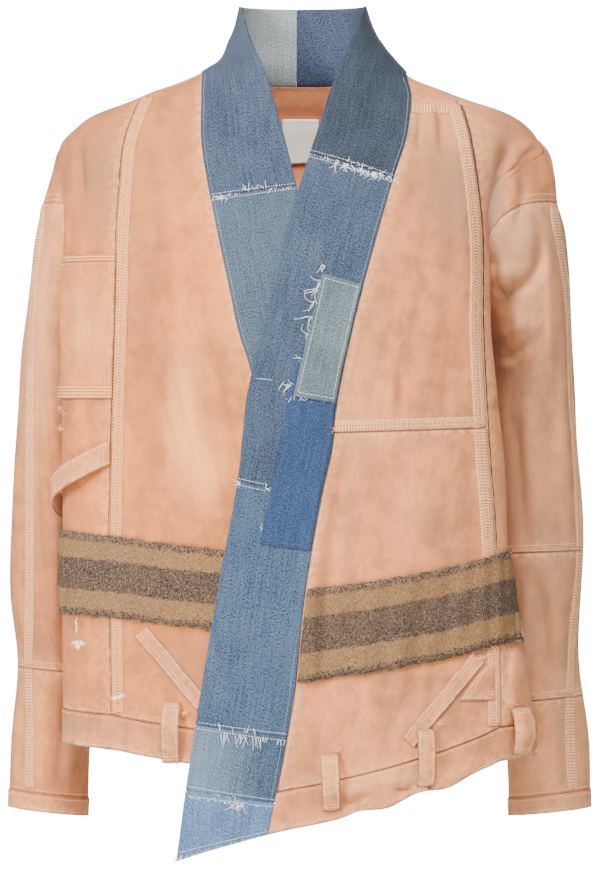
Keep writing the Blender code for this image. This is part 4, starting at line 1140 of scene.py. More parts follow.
def wool_material():
    """Stripes by the distance down the strip, with yarn-scale flecks, a felted nap and hairy edges."""
    material, tree = new_material("blanket_wool", 0.97, 0.0)
    place, uv, _, _ = cloth_facts(tree)
    wobble, fleck = noise(place, 90, 2, 0.6), noise(place, 620, 3, 0.75)
    down = node(tree, "Attribute", output="Fac", attribute_name="down") + (wobble - 0.5) * 0.035
    camel = blend(ramp(fleck, 0.35, 0.65), (0.080, 0.043, 0.018), (0.285, 0.148, 0.063))
    heather = blend(ramp(fleck, 0.38, 0.62), (0.013, 0.009, 0.006), (0.094, 0.058, 0.039))
    heather = blend(ramp(noise(place, 900, 1), 0.60, 0.68) * 0.8, heather, (0.27, 0.19, 0.13))
    edge = blend(ramp(fleck, 0.42, 0.58), (0.014, 0.009, 0.006), (0.170, 0.105, 0.062))
    top, start, end, foot = STRIPES
    middle = ramp(down, start - 0.012, start + 0.012) * ramp(down, end + 0.012, end - 0.012)
    hairy = ramp(down, top + 0.02, top - 0.01).maths("MAXIMUM", ramp(down, foot - 0.02, foot + 0.01))
    colour = blend(hairy, blend(middle, camel, heather), edge)
    colour = blend(ramp(noise(place, 22, 3), 0.6, 0.35) * 0.22, colour, (0.10, 0.06, 0.035))
    height = fleck * 0.0007 + noise(uv, (260, 620), 2, 0.6) * 0.0003 + wobble * hairy * 0.0012
    return coated(material, colour, height, strength=0.9)


WOOL_END = 0.968       # the left strip stops this share of the way to the side seam
FLUFF = 0.0010             # how much thicker the strip's middle is than its edges
wool = wool_material()
blanket_rows = slice(row_at(FIRST_LOWER + BLANKET_TOP), row_at(FIRST_LOWER + BLANKET_FOOT) + 1)
blanket_lines = {side: [lines[blanket_rows] for lines in front_grids[side]] for side in WORDS}
for side, word in WORDS.items():
    turn, z = blanket_lines[side]
    if side == LEFT:
        turn = turn[:, :1] + (turn - turn[:, :1]) * WOOL_END
    ragged = 0.0007 * np.sin(turn[:1] * 61 + 2 * np.sin(turn[:1] * 23)) + 0.0004 * np.sin(turn[:1] * 173)
    share = shares(len(z))[:, None]
    z = z + ragged * (1 - share) + 1.3 * ragged[:, ::-1] * share
    puff = FLUFF * np.sin(math.pi * share) ** 0.5 + 0.0006 * np.sin(turn * 37 + 5 * share)
    grid = drawn_in(laid(turn, z, CANVAS + LAY + puff, side), ("start", "end"), 0.002)
    piece = cloth(f"blanket_strip_{word}", [grid], BLANKET, (wool,), flip=side == RIGHT, fades_and_shade=False)
    painted(piece.data, "down", np.broadcast_to(share, grid.shape[:2]))

# ---- Waistbands ------------------------------------------------------------------------------
# The trousers' own waistbands make the hem: double duck, topstitched along both edges. The right
# one ends in an open vent at the side seam, and the left one has begun to roll under at its foot.

ALLOWANCE = (0.004, -0.006)        # the raw edge folded up behind the top, above and below it
ROLL = 0.0024                      # how far the left one's foot wanders where it rolls under
waist_grids = {"waistband_right_front": (*front_grids[RIGHT], RIGHT),
               "waistband_back": (back_turn, back_z, None),
               "waistband_left_front": (*front_grids[LEFT], LEFT)}
for name, (turn, z, side) in waist_grids.items():
    turn, z = turn[row_at(WAIST_ROW):], z[row_at(WAIST_ROW):]
    lift = np.linspace(*ALLOWANCE, 4)[:, None]
    behind = [] if side == RIGHT else [laid(turn[:1] + 0 * lift, z[:1] + lift, -HEM - 0.0002, side)]
    x = body(turn, z)[..., 0]
    if side == LEFT:
        rolled = ROLL * np.sin(x * 105 + 2.2) * step(0.02, 0.06, x) * step(0.20, 0.15, x)
        z = z + rolled * shares(len(z))[:, None]
        x = body(turn, z)[..., 0]
    rib = 0.0005 * np.sin(620 * x + 3 * np.sin(90 * x)) * np.exp(-np.arange(len(z)) / 2.5)[:, None]
    band = drawn_in(laid(turn, z, rib, side), ("top",) if side is None else ("top", "start"), GAP)
    cloth(name, [band if side is None else drawn_in(band, ("end",), -SIDE_TUCK)], HEM,
          (canvas_shade_tint if side is None else canvas, canvas_inside),
          flip=side == RIGHT, seams=("bottom",), fades_and_shade=side is not None, extra=behind)


# ---- Tool pocket and hammer loop -------------------------------------------------------------
# A carpenter's pocket on the right side panel, hemmed at both ends, and the doubled strip that held
# a hammer, sewn across the flank with its middle standing off.

POCKET_FOOT = 1            # the row of the front at which the pocket ends
POCKET_TOP_Z, POCKET_HEMS = -0.179, (0.009, 0.014)
POCKET_BAG = 0.0018        # how far it sags over its foot
HAMMER_PATH = ((-0.189, -0.375), (-97, -0.428))      # from (x, z) to (turn in degrees, z)
HAMMER_WIDTH, HAMMER_STAND = 0.024, 0.013
OVER = CANVAS + LAY
pocket_columns = slice(MIDDLE_COLUMNS * FINE, int((MIDDLE_COLUMNS + SIDE_COLUMNS - 0.5) * FINE) + 1)
pocket_rows = slice(row_at(FIRST_LOWER + POCKET_FOOT) + 1)
panel_turn, panel_z = (lines[pocket_rows, pocket_columns] for lines in front_grids[RIGHT])
pocket_z = mix(POCKET_TOP_Z, panel_z[-1], shares(64)[:, None])
pocket_turn = np.stack([np.interp(-z, -heights, turns) for z, heights, turns in
                        zip(pocket_z.T, panel_z.T, panel_turn.T)], 1)
from_top, from_foot = pocket_z[0] - pocket_z, pocket_z - pocket_z[-1]
pocket_bag = step(0.02, 0.0, from_foot) * np.sin(math.pi * shares(pocket_z.shape[1]) ** 0.8)
pocket_out = OVER + POCKET_BAG * pocket_bag + 0.0007 * np.sin(pocket_z * 90 + 2) * np.sin(pocket_turn * 21)
pocket = drawn_in(laid(pocket_turn, pocket_z, pocket_out), ("start",), 0.001)
hems = []
for depth, away in zip(POCKET_HEMS, (from_top, from_foot)):
    rows = away.mean(1) < depth
    ribs = 0.0009 + 0.0003 * np.sin(pocket_turn[rows] * 420)
    hems.append(drawn_in(laid(pocket_turn[rows], pocket_z[rows], pocket_out[rows] + ribs), ("start",), 0.001))
cloth("tool_pocket_right", [pocket], CANVAS, (canvas_marked, canvas_inside), flip=True,
      seams=("start", "end", "top", "bottom"), extra=hems)

along, across = shares(49)[:, None], np.linspace(-0.5, 0.5, 9)
(hammer_x, hammer_top), (hammer_end, hammer_foot) = HAMMER_PATH
hammer_turn = mix(front_turn(hammer_x, hammer_top), math.radians(hammer_end), along) + 0 * across
hammer_z = mix(hammer_top, hammer_foot, along) + across * HAMMER_WIDTH + 0.0012 * np.sin(3.0 * along + 1)
hammer_out = OVER + HAMMER_STAND * np.sin(math.pi * along) ** 0.8 + 0.0003 * np.cos(across * 2 * math.pi)
cloth("hammer_loop", [laid(hammer_turn, hammer_z, hammer_out)[::-1]], CANVAS, (canvas, canvas),
      seams=("start", "end", "top"))


# ---- Slanted pockets, coin patch and belt loops ----------------------------------------------
# Faced pocket mouths from the trousers' fronts, a small patch where a coin pocket was, and belt loops
# of folded duck that stand off the waistband and have paled at their sewn ends.

LOOP_WIDTH, LOOP_STAND, LOOP_TWIST, MOUTH_WIDTH = 0.017, 0.0080, 0.0022, 0.016
COIN_HEIGHTS, COIN_END = (-0.586, -0.6195), 0.189
COIN_STARTS = (0.180, 0.166, 0.154)         # x of its slanting edge at its top, middle and foot
MOUTHS = {RIGHT: ((-0.1585, -0.551), (-0.0975, -0.624)), LEFT: ((0.1740, -0.577), (0.1040, -0.660))}
# Each loop's side, its path from (x, z) to (x, z), and how far it is twisted
LOOPS = {"belt_loop_right": (RIGHT, ((-0.1286, -0.622), (-0.1286, -0.680)), 0.5),
         "belt_loop_left_1": (LEFT, ((0.0270, -0.672), (0.0290, -0.7264)), 0.0),
         "belt_loop_left_2": (LEFT, ((0.1210, -0.6480), (0.1210, -0.7030)), -0.4),
         "belt_loop_left_3": (LEFT, ((0.2130, -0.6280), (0.2150, -0.6720)), 1.2)}


def strip_lines(path, wide):
    """Turns and heights of a narrow strip from one (x, z) to another, and the shares along and across."""
    (x0, z0), (x1, z1) = path
    along, across = shares(40)[:, None], np.linspace(-0.5, 0.5, 9)
    length = math.hypot(x1 - x0, z1 - z0)
    x = mix(x0, x1, along) + across * wide * (z0 - z1) / length
    z = mix(z0, z1, along) + across * wide * (x1 - x0) / length
    return front_turn(x, z), z, along + 0 * across, across + 0 * along


# Each small sheet as its turns, heights, top and side, for its stitches
mouth_sheets, loop_sheets = [], []
for side, word in WORDS.items():
    turn, z, along, across = strip_lines(MOUTHS[side], MOUTH_WIDTH)
    pucker = 0.0003 * np.sin(along * 150 + 3 * np.sin(along * 21)) * (1 - 4 * across**2)
    cloth(f"pocket_mouth_{word}", [laid(turn, z, OVER + pucker, side)], PATCH, (canvas,),
          seams=("start", "end"))
    mouth_sheets.append((turn, z, OVER + PATCH + 0 * turn, side))
coin_share = shares(14)[:, None]
coin_z = mix(*COIN_HEIGHTS, coin_share) + np.zeros(12)
coin_x = mix(np.interp(coin_share, (0, 0.5, 1), COIN_STARTS), COIN_END, shares(12))
coin_turn = front_turn(coin_x, coin_z)
cloth("coin_patch_left", [laid(coin_turn, coin_z, OVER, LEFT)], PATCH, (canvas,),
      seams=("start", "bottom"))
for name, (side, path, twist) in LOOPS.items():
    turn, z, along, across = strip_lines(path, LOOP_WIDTH)
    stand = LOOP_STAND * np.sin(math.pi * along) ** 0.7
    stand = stand + twist * LOOP_TWIST * across * np.sin(math.pi * along) ** 2
    stand = stand + 0.0005 * np.cos(2 * math.pi * across)
    cloth(name, [laid(turn, z, HEM + LAY + stand, side)], CANVAS, (canvas, canvas),
          seams=("start", "end", "top", "bottom"))
    loop_sheets.append((turn, z, HEM + LAY + stand + CANVAS, side))


# ---- Neck label ------------------------------------------------------------------------------
# A bare rectangle of cream cotton, tacked inside the back below the neck, its raw edges torn.

LABEL_LAY = 0.0013         # how far it lies inside the back's inner face
LABEL_X, LABEL_Z = (-0.0197, 0.0167), (-0.0375, -0.0820)


def cotton_material():
    """Unbleached cotton: a plain weave, slightly yellowed in clouds, whiter threads at its torn edges."""
    material, tree = new_material("label_cotton", 0.95, 0.05)
    place, _, seam, _ = cloth_facts(tree)
    colour = blend(ramp(noise(place, 60, 4, 0.6), 0.35, 0.65), (0.92, 0.83, 0.70), (0.98, 0.92, 0.82))
    colour = blend(seam * 0.6, colour, (0.97, 0.95, 0.90))
    return coated(material, colour, noise(place, 900, 2, 0.6) * 0.0003)


label_rise, label_across = shares(33)[:, None], shares(29)
torn_side = 0.0007 * np.sin(label_rise * 90) * np.sin(label_rise * 37 + 1) * np.abs(2 * label_across - 1) ** 6
torn_foot = 0.0008 * np.sin(label_across * 70) * np.sin(label_across * 31 + 2) * label_rise ** 8
label_x = mix(*LABEL_X, label_across) + torn_side * np.sign(label_across - 0.5)
label_z = mix(*LABEL_Z, label_rise) + torn_foot + 0.0009 * label_across * label_rise
label_turn = math.pi - front_turn(label_x, label_z)
label_out = -LABEL_LAY - 0.0004 * np.sin(label_rise * 5) ** 2
cloth("neck_label", [laid(label_turn, label_z, label_out)], PATCH, (cotton_material(),), flip=True,
      inward=True, seams=("start", "end", "top", "bottom"), fades_and_shade=False)

# ---- Stitches --------------------------------------------------------------------------------
# Rows of lockstitch. The canvas is topstitched in its own colour, now paler than the cloth, and the
# denim mostly in white. Each stitch is a four-sided bar with pointed ends, lying along its row.

STITCH_PITCH, STITCH_DASH, STITCH_RADIUS = 0.0027, 0.0017, 0.00036
LIFT = 0.0001              # how far a stitch's middle lies over the cloth
chance = np.random.default_rng(11)


def thread_material(name, colour, other):
    """Spun thread: its colour wanders slowly between two tints, with a soft sheen."""
    material, tree = new_material(name, 0.85, 0.1)
    cloud = noise(node(tree, "TexCoord", output="Object"), 140, 2, 0.6)
    return coated(material, blend(ramp(cloud, 0.35, 0.65), colour, other))


tan_thread = thread_material("tan_thread", (0.90, 0.42, 0.19), (0.94, 0.56, 0.30))
white_thread = thread_material("white_thread", (0.72, 0.74, 0.74), (0.84, 0.83, 0.80))
blue_thread = thread_material("blue_thread", (0.012, 0.022, 0.05), (0.05, 0.08, 0.13))
pale_thread = thread_material("pale_blue_thread", (0.20, 0.26, 0.34), (0.36, 0.43, 0.50))


def plain_piece(name, points, faces, material):
    """A mesh of thread that rides on the jacket."""
    piece = placed(name, made_mesh(name, points, faces, material))
    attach(piece, "root")
    return piece


def unit(vectors):
    """The vectors over their lengths."""
    return vectors / np.maximum(np.linalg.norm(vectors, axis=-1, keepdims=True), 1e-12)


def sewn(name, rows, material, pitch=STITCH_PITCH, dash=STITCH_DASH, radius=STITCH_RADIUS):
    """One piece of stitches along rows, each given as its points and the ways out of the cloth."""
    starts, ends, ups = [], [], []
    for points, out in rows:
        way = np.append(0, np.cumsum(np.linalg.norm(np.diff(points, axis=0), axis=1)))
        places = np.arange(0.3 * pitch, way[-1] - dash, pitch)
        places = places + chance.uniform(-0.1, 0.1, len(places)) * pitch
        for found, offset in ((starts, 0.0), (ends, dash)):
            found.append(np.stack([np.interp(places + offset, way, points[:, k]) for k in range(3)], -1))
        ups.append(unit(np.stack([np.interp(places, way, out[:, k]) for k in range(3)], -1)))
    start, end, up = (np.vstack(part) for part in (starts, ends, ups))
    along = unit(end - start)
    aside = unit(np.cross(along, up))
    shift = aside * chance.uniform(-1, 1, (len(start), 1)) * radius * 0.4
    ring = [aside * radius, up * radius * 0.8, -aside * radius, -up * radius * 0.8]
    near, far = start + 0.2 * (end - start) + shift, end - 0.2 * (end - start) + shift
    points = np.stack([start - up * radius * 0.5, *(near + r for r in ring), *(far + r for r in ring),
                       end - up * radius * 0.5], 1)
    one = [(0, 1 + (k + 1) % 4, 1 + k) for k in range(4)] + [(9, 5 + k, 5 + (k + 1) % 4) for k in range(4)]
    one += [(1 + k, 1 + (k + 1) % 4, 5 + (k + 1) % 4) for k in range(4)]
    one += [(1 + k, 5 + (k + 1) % 4, 5 + k) for k in range(4)]
    faces = np.array(one)[None] + 10 * np.arange(len(points))[:, None, None]
    return plain_piece(name, points, faces.reshape(-1, 3), material)


def body_row(turn, z, out, side=None):
    """A row on the body's cloth, as points and ways out."""
    turn, z = matched(turn, z)
    return laid(turn, z, out, side), outward(body, turn, z)


def arm_row(side, turn, z, out):
    """A row on a sleeve's cloth, as points and ways out."""
    turn, z = matched(turn, z)
    return on_sleeve(side, turn, z, out), -side * outward(lambda a, h: sleeve(side, a, h), turn, z)


def grid_row(lines, side, out, row=None, column=None, part=slice(None)):
    """A row along a grid of turns and heights, at a fractional row or column of it."""
    at = row if column is None else column
    turn, z = (grid if column is None else grid.T for grid in lines)
    low = int(at)
    turn, z = (mix(grid[low], grid[min(low + 1, len(grid) - 1)], at - low)[part] for grid in (turn, z))
    return body_row(turn, z, out, side)


def dense(start, end):
    """Heights in even steps of about 2 mm."""
    return np.linspace(start, end, max(2, int(abs(end - start) / 0.002)))


def sheet_rows(sheet, columns=(), rows=(), lift=LIFT):
    """Rows of stitches down and across a small sheet, given as its turns, heights, top and side."""
    turn, z, top, side = sheet
    parts = [(slice(None), column) for column in columns] + [(row, slice(None)) for row in rows]
    return [body_row(turn[part], z[part], top[part] + lift, side) for part in parts]


FELL_TOP, FELL_ROWS = 2 * CANVAS - FELL_SUNK + LIFT, (0.10, 0.32, 0.68, 0.90)
SEAM_ROWS, CUFF_ROWS, CAP_ROWS = (0.0022, 0.0075), (0.0035,), (0.0022, 0.0080)      # heights over a seam
waist = row_at(WAIST_ROW)
front_rows = []
for side, high, low in ((RIGHT, -0.022, -0.633), (LEFT, -0.030, -0.643)):
    z = dense(high, low)
    front_rows += [body_row(*felled_lines(side, z, a), FELL_TOP + ladder(z, a), side) for a in FELL_ROWS]
for path, above in ((YOKE_LINE, False), (CROSS_LINE, True)):
    for a in FELL_ROWS:
        x, z = seam_lines(path, shares(80), np.array(a), above)
        front_rows.append(body_row(front_turn(x, z), z, FELL_TOP + ladder(x, a), LEFT))
for side in WORDS:
    front_rows.append(grid_row(front_grids[side], side, CANVAS + LIFT, row=0.55, part=slice(2, None)))
    for wall, row in ((HEM, 0.8), (HEM, 9.0), (CANVAS, -0.6)):
        front_rows.append(grid_row(front_grids[side], side, wall + LIFT, row=waist + row))
    front_rows.append(grid_row(front_grids[side], side, CANVAS + LIFT, column=0.6, part=slice(4, waist - 2)))
sewn("front_stitches", front_rows, tan_thread)

spine_rows = dense(-0.031, -0.644)
back_rows = [body_row(spine_turn(a), spine_rows, FELL_TOP + ladder(spine_rows, a)) for a in FELL_ROWS]
for wall, row in ((HEM, waist + 0.8), (HEM, waist + 9.0), (CANVAS, waist - 0.6), (CANVAS, 0.7)):
    back_rows.append(grid_row((back_turn, back_z), None, wall + LIFT, row=row))
sewn("back_stitches", back_rows, tan_thread)

for side, word in WORDS.items():
    rows = []
    fell_z = dense(-0.130, -0.713)
    for a in FELL_ROWS:
        points = sleeve_fell(side, fell_z, a, CANVAS + LIFT)
        rows.append((points, sleeve_fell(side, fell_z, a, CANVAS + 0.001) - points))
    around = np.linspace(0, 2 * math.pi, 140)
    for name, foot in SLEEVE_LENGTHS[side]:
        wall = HEM if name == "cuff" else CANVAS
        for above in CUFF_ROWS if name in ("lower", "cuff") else SEAM_ROWS:
            rows.append(arm_row(side, around, foot - tilt(foot, around) + above, wall + LIFT))
    rows.append(arm_row(side, around, -0.714 - tilt(-0.73, around) - 0.0030, HEM + LIFT))
    cap_turns = np.linspace(-math.radians(150), math.radians(84), 160)
    seam_z = sleeve_seam(side, cap_turns)
    for above in CAP_ROWS:
        places = np.flatnonzero(seam_z + above < armhole(side, cap_turns) - 0.002)
        rows.append(arm_row(side, cap_turns[places], seam_z[places] + above, CANVAS + LIFT))
    sewn(f"sleeve_{word}_stitches", rows, tan_thread)

hem_rows = int(np.argmax(from_top.mean(1) > 0.007)), int(np.argmax(from_foot.mean(1) < 0.012))
trim_rows = sheet_rows((pocket_turn, pocket_z, pocket_out + CANVAS, RIGHT), (1, 2),
                       (1, *hem_rows, len(pocket_z) - 2), lift=0.0010)
for sheet in mouth_sheets:
    trim_rows += sheet_rows(sheet, (1, 3, 7), lift=0.0002)
for sheet in loop_sheets:
    trim_rows += sheet_rows(sheet, (1, 7)) + sheet_rows(sheet, rows=(2, 4, -5, -3), lift=0.0002)
trim_rows += sheet_rows((hammer_turn, hammer_z, hammer_out + CANVAS, None), (1, 7), (2, 4, -5, -3))
trim_rows += sheet_rows((coin_turn, coin_z, OVER + PATCH + 0 * coin_z, LEFT), (1, 3), (-2,), lift=0.0002)
sewn("trim_stitches", trim_rows, tan_thread)

# Each row down the band: its side, its share of the width, and the heights it runs between
BAND_ROWS = [(RIGHT, 0.035, -0.004, -0.690), (RIGHT, 0.955, 0.0, -0.690), (LEFT, 0.035, -0.004, -0.748),
             (LEFT, 0.955, 0.0, -0.748)]
# Each join's side, the heights of its rows, and where they start across the band
BAND_JOINS = [(RIGHT, (-0.1205, -0.1265), 0.0), (LEFT, (-0.1026, -0.1090), 0.0),
              (LEFT, (-0.4160, -0.4220), 0.62), (LEFT, (-0.6515, -0.6580), 0.0),
              (LEFT, (-0.7165, -0.7230), 0.0), (LEFT, (-0.7475,), 0.0)]
white_rows, pale_rows, blue_rows = [], [], []


def down_band(side, top, low, across, out):
    """A row down the band at a share of its width; out gives its distance at each height."""
    turn, z = band_lines(side, dense(top, low), np.array([across]))
    return body_row(turn[:, 0], z[:, 0], out(z[:, 0]), side)


def across_band(side, height, start, end, count, out):
    """A row across the band at one height of its sewn edge, between two shares of its width."""
    turn, z = band_lines(side, np.array([height]), np.linspace(start, end, count))
    return body_row(turn[0], z[0], out, side)


for side, a, top, low in BAND_ROWS:
    (pale_rows if a < 0.5 else blue_rows).append(down_band(side, top, low, a, lambda z: DENIM + LIFT))
for side, heights, start in BAND_JOINS:
    white_rows += [across_band(side, height, start, 1.0, 40, DENIM + LIFT) for height in heights]
for name, _, top, low, width, lift in PATCH_PLACES:
    over_patch = white_rows if lift else blue_rows
    for a in (0.06, width - 0.045):
        over_patch.append(down_band(LEFT, top - 0.003, low + 0.003, a,
                                    lambda z: DENIM + LAY + lift * step(*PATCH_STEP, z) + PATCH + LIFT))
    for height in (top - 0.004, low + 0.004):
        out = DENIM + LAY + lift + PATCH + LIFT
        over_patch.append(across_band(LEFT, height, 0.04, width - 0.03, 30, out))
collar_rows = [body_row(back_turn[0], mix(back_z[0], COLLAR_TOP_Z, r), DENIM + LIFT) for r in (0.05, 0.94)]
sewn("denim_stitches", white_rows + collar_rows, white_thread, dash=0.0018, radius=0.00024)
sewn("denim_pale_stitches", pale_rows, pale_thread, pitch=0.0026, radius=0.00022)
sewn("denim_blue_stitches", blue_rows, blue_thread, dash=0.0019, radius=0.00028)


# ---- Frayed threads --------------------------------------------------------------------------
# Warp ends that have worked out of the denim's raw joins and patch edges, the blanket's hairy cut
# edges, and a few tan ends left at the seams.

def strands(name, turn, z, out, side, radius, material):
    """Three-sided tubes along lines given as (count, sections) turns, heights and distances out."""
    line = laid(turn, z, out, side)
    way = unit(np.gradient(line, axis=1))
    first = unit(np.cross(way, outward(body, turn, z)))
    second = np.cross(way, first)
    taper = radius * np.linspace(1.0, 0.55, line.shape[1])[:, None]
    corners = np.arange(3) * 2 * math.pi / 3
    ring = [line + taper * (math.cos(a) * first + math.sin(a) * second) for a in corners]
    points = np.stack(ring, 2)
    count, sections = line.shape[:2]
    at = np.arange(count * sections * 3).reshape(count, sections, 3)
    turned = np.roll(at, -1, axis=2)
    sides = np.stack([at[:, :-1], turned[:, :-1], turned[:, 1:], at[:, 1:]], -1).reshape(-1, 4)
    triangles = np.vstack([np.stack([sides[:, 0], sides[:, 1], sides[:, 2]], -1),
                           np.stack([sides[:, 0], sides[:, 2], sides[:, 3]], -1),
                           at[:, 0, ::-1], at[:, -1]])
    return plain_piece(name, points, triangles, material)


def tuft_lines(*facts, sections=7):
    """Each strand leaves (x, z) at an angle from straight down, bends by curl and stands off by lift."""
    x, z, length, lean, curl, lift = (fact[:, None] for fact in facts)
    t = shares(sections)
    step_x, step_z = (of(lean + curl * t) * length / sections for of in (np.sin, lambda a: -np.cos(a)))
    xs, zs = x + np.cumsum(step_x, 1) - step_x[:, :1], z + np.cumsum(step_z, 1) - step_z[:, :1]
    return front_turn(xs, zs), zs, lift * np.sin(math.pi * t) ** 0.8


wool_thread = thread_material("wool_thread", (0.045, 0.028, 0.017), (0.26, 0.165, 0.10))
FRINGE_COUNT, FRINGE_LENGTH = 430, 0.0034       # hairs on each cut edge of a blanket strip
# Tufts on the neckband: side, height, from and to across it, count, length in mm, lean from straight
# down, spread and curl in degrees, and lift in mm
TUFTS = [
    (RIGHT, -0.1240, 0.02, 0.20, 15, 8, 20, 80, 220, 1.2),
    (RIGHT, -0.1220, 0.42, 0.80, 9, 8, 205, 22, 50, 0.8),
    (RIGHT, -0.1240, 0.10, 0.95, 22, 3, 0, 70, 120, 0.5),
    (LEFT, -0.1060, 0.66, 0.86, 3, 17, -35, 18, 60, 0.9),
    (LEFT, -0.1070, 0.24, 0.64, 34, 9, 10, 42, 120, 1.4),
    (LEFT, -0.1050, 0.26, 0.60, 10, 5, 160, 50, 140, 1.0),
    (LEFT, -0.1060, -0.04, 0.26, 12, 8, 60, 40, 120, 0.9),
    (LEFT, -0.1060, 0.05, 0.98, 26, 3, 0, 80, 100, 0.4),
    (LEFT, -0.2030, 0.50, 0.54, 5, 9, -40, 60, 120, 1.2),
    (LEFT, -0.2180, 0.50, 0.54, 4, 18, -35, 30, 170, 1.6),
    (LEFT, -0.2260, 0.50, 0.54, 3, 20, -70, 30, 210, 1.8),
    (LEFT, -0.2380, 0.50, 0.54, 3, 17, -30, 40, 190, 1.6),
    (LEFT, -0.2520, 0.50, 0.55, 4, 19, -80, 30, 230, 1.6),
    (LEFT, -0.2680, 0.50, 0.55, 3, 15, -50, 40, 220, 1.4),
    (LEFT, -0.2900, 0.50, 0.55, 4, 9, -60, 60, 120, 1.0),
    (LEFT, -0.3150, 0.52, 0.80, 7, 15, -70, 40, 190, 1.4),
    (LEFT, -0.3240, 0.04, 0.50, 26, 6, 5, 26, 40, 0.7),
    (LEFT, -0.3240, 0.40, 0.54, 8, 11, -30, 35, 120, 1.0),
    (LEFT, -0.4190, 0.94, 1.02, 5, 9, -70, 40, 120, 0.7),
    (LEFT, -0.4190, 0.60, 0.70, 4, 7, 80, 40, 100, 0.6),
    (LEFT, -0.4560, 0.55, 0.62, 4, 6, 40, 60, 160, 0.7), (LEFT, -0.6590, 0.59, 0.69, 5, 12, 0, 22, 20, 0.9),
    (LEFT, -0.6590, 0.39, 0.54, 7, 12, 0, 34, 15, 0.9), (LEFT, -0.6590, 0.23, 0.33, 5, 12, 0, 22, 10, 0.9),
    (LEFT, -0.6580, 0.00, 0.22, 8, 6, 0, 20, 30, 0.6), (LEFT, -0.6560, 0.30, 0.75, 8, 7, 180, 25, 40, 0.6),
    (LEFT, -0.7240, 0.29, 0.52, 16, 13, 10, 80, 260, 1.4),
    (LEFT, -0.7200, 0.97, 1.03, 8, 8, -50, 45, 120, 0.8),
    (LEFT, -0.7495, 0.92, 1.02, 18, 7, -10, 45, 70, 0.9),
    (LEFT, -0.7500, 0.05, 0.95, 60, 3, 0, 40, 60, 0.4), (LEFT, -0.7230, 0.05, 0.95, 24, 3, 0, 60, 60, 0.4)]


def tuft(count, length, lean, spread, curl, lift, lengths, lifts):
    """Random lengths, leans, curls and lifts of a tuft's strands, each within a range of its share."""
    return [length / 1000 * chance.uniform(*lengths, count),
            np.radians(lean + spread * chance.uniform(-1, 1, count)),
            np.radians(curl * chance.uniform(-1, 1, count)), lift / 1000 * chance.uniform(*lifts, count)]


tufts = {side: [] for side in WORDS}
for side, height, a0, a1, count, *shape in TUFTS:
    turn, z = band_lines(side, np.full(1, height), chance.uniform(a0, a1, count))
    x = body(turn[0], z[0])[:, 0]
    heights = z[0] + chance.uniform(-0.0012, 0.0012, count)
    tufts[side].append(np.stack([x, heights, *tuft(count, *shape, (0.6, 1.3), (0.5, 1.5))]))
for side, word in WORDS.items():
    turn, z, lift = tuft_lines(*np.concatenate(tufts[side], axis=1))
    strands(f"frayed_ends_{word}", turn, z, DENIM + 0.0004 + lift, side, 0.00030, white_thread)

for side, word in WORDS.items():
    turn, z = blanket_lines[side]
    fringe = []
    for row, way in ((0, 1), (-1, -1)):
        at = chance.uniform(0.3, turn.shape[1] - 1.3, FRINGE_COUNT)
        column = np.arange(turn.shape[1])
        start_turn, start_z = (np.interp(at, column, lines[row])[:, None] for lines in (turn, z))
        length = FRINGE_LENGTH * chance.uniform(0.3, 1.5, (FRINGE_COUNT, 1)) ** 1.4
        lean, curl = (chance.uniform(-most, most, (FRINGE_COUNT, 1)) for most in (1.1, 1.6))
        t = shares(5)
        over, up = (np.cumsum(of(lean + curl * t) * length / 5, 1) for of in (np.sin, np.cos))
        fringe.append((start_turn + over / BODY_RADIUS, start_z + way * (up - 0.0012), CANVAS + LAY
                       + BLANKET * chance.uniform(0.2, 1.15, (FRINGE_COUNT, 1)) + 0.0006 * t))
    turn, z, out = (np.concatenate(part) for part in zip(*fringe))
    strands(f"blanket_fringe_{word}", turn, z, out, side, 0.00026, wool_thread)

# A dark cord along the folded outer edge of each felled strip, painted shadow of the fold with the grime
# packed in it: side, from, to and radius in mm
shadow_and_grime_thread = thread_material("fold_shadow_and_grime", (0.014, 0.008, 0.005), (0.060, 0.030, 0.016))
for side, high, low, radius in ((LEFT, -0.030, -0.470, 1.15), (RIGHT, -0.024, -0.632, 0.70)):
    z = np.linspace(high, low, 140)[None]
    x = smooth(FELLED[side], "x", z) + side * (0.0010 + 0.0014 * radius)
    out = CANVAS + 0.0002 * np.sin(z * 300)
    strands(f"felled_edge_shadow_{WORDS[side]}", front_turn(x, z), z, out, side, radius / 1000, shadow_and_grime_thread)

# Loose ends elsewhere: x and z in mm, side, count, length in mm, lean, spread, curl, lift in mm, pale or not
LOOSE = [
    (-119, -631, RIGHT, 16, 6, 110, 70, 160, 4.0, 1), (-129, -624, RIGHT, 10, 5, 180, 80, 120, 3.5, 1),
    (-209, -667, RIGHT, 12, 5, 0, 90, 200, 2.0, 0), (124, -704, LEFT, 22, 6, -60, 110, 240, 3.0, 0),
    (-182, -618, RIGHT, 8, 5, 90, 60, 120, 1.0, 1), (34, -668, LEFT, 8, 5, 170, 70, 120, 3.0, 1),
    (134, -643, LEFT, 10, 6, 120, 60, 150, 3.0, 1), (205, -624, LEFT, 8, 6, 200, 60, 120, 3.0, 1),
    (-183, -22, RIGHT, 6, 5, 0, 90, 120, 1.0, 1), (176, -576, LEFT, 7, 6, 60, 60, 160, 1.5, 1),
    (-236, -330, RIGHT, 8, 6, -40, 60, 120, 2.0, 1), (186, -612, LEFT, 6, 5, 0, 80, 160, 1.0, 1),
    (-236, -352, RIGHT, 6, 6, 200, 60, 120, 3.0, 1), (30, -352, LEFT, 5, 5, -60, 60, 120, 1.0, 1)]
ends = {}
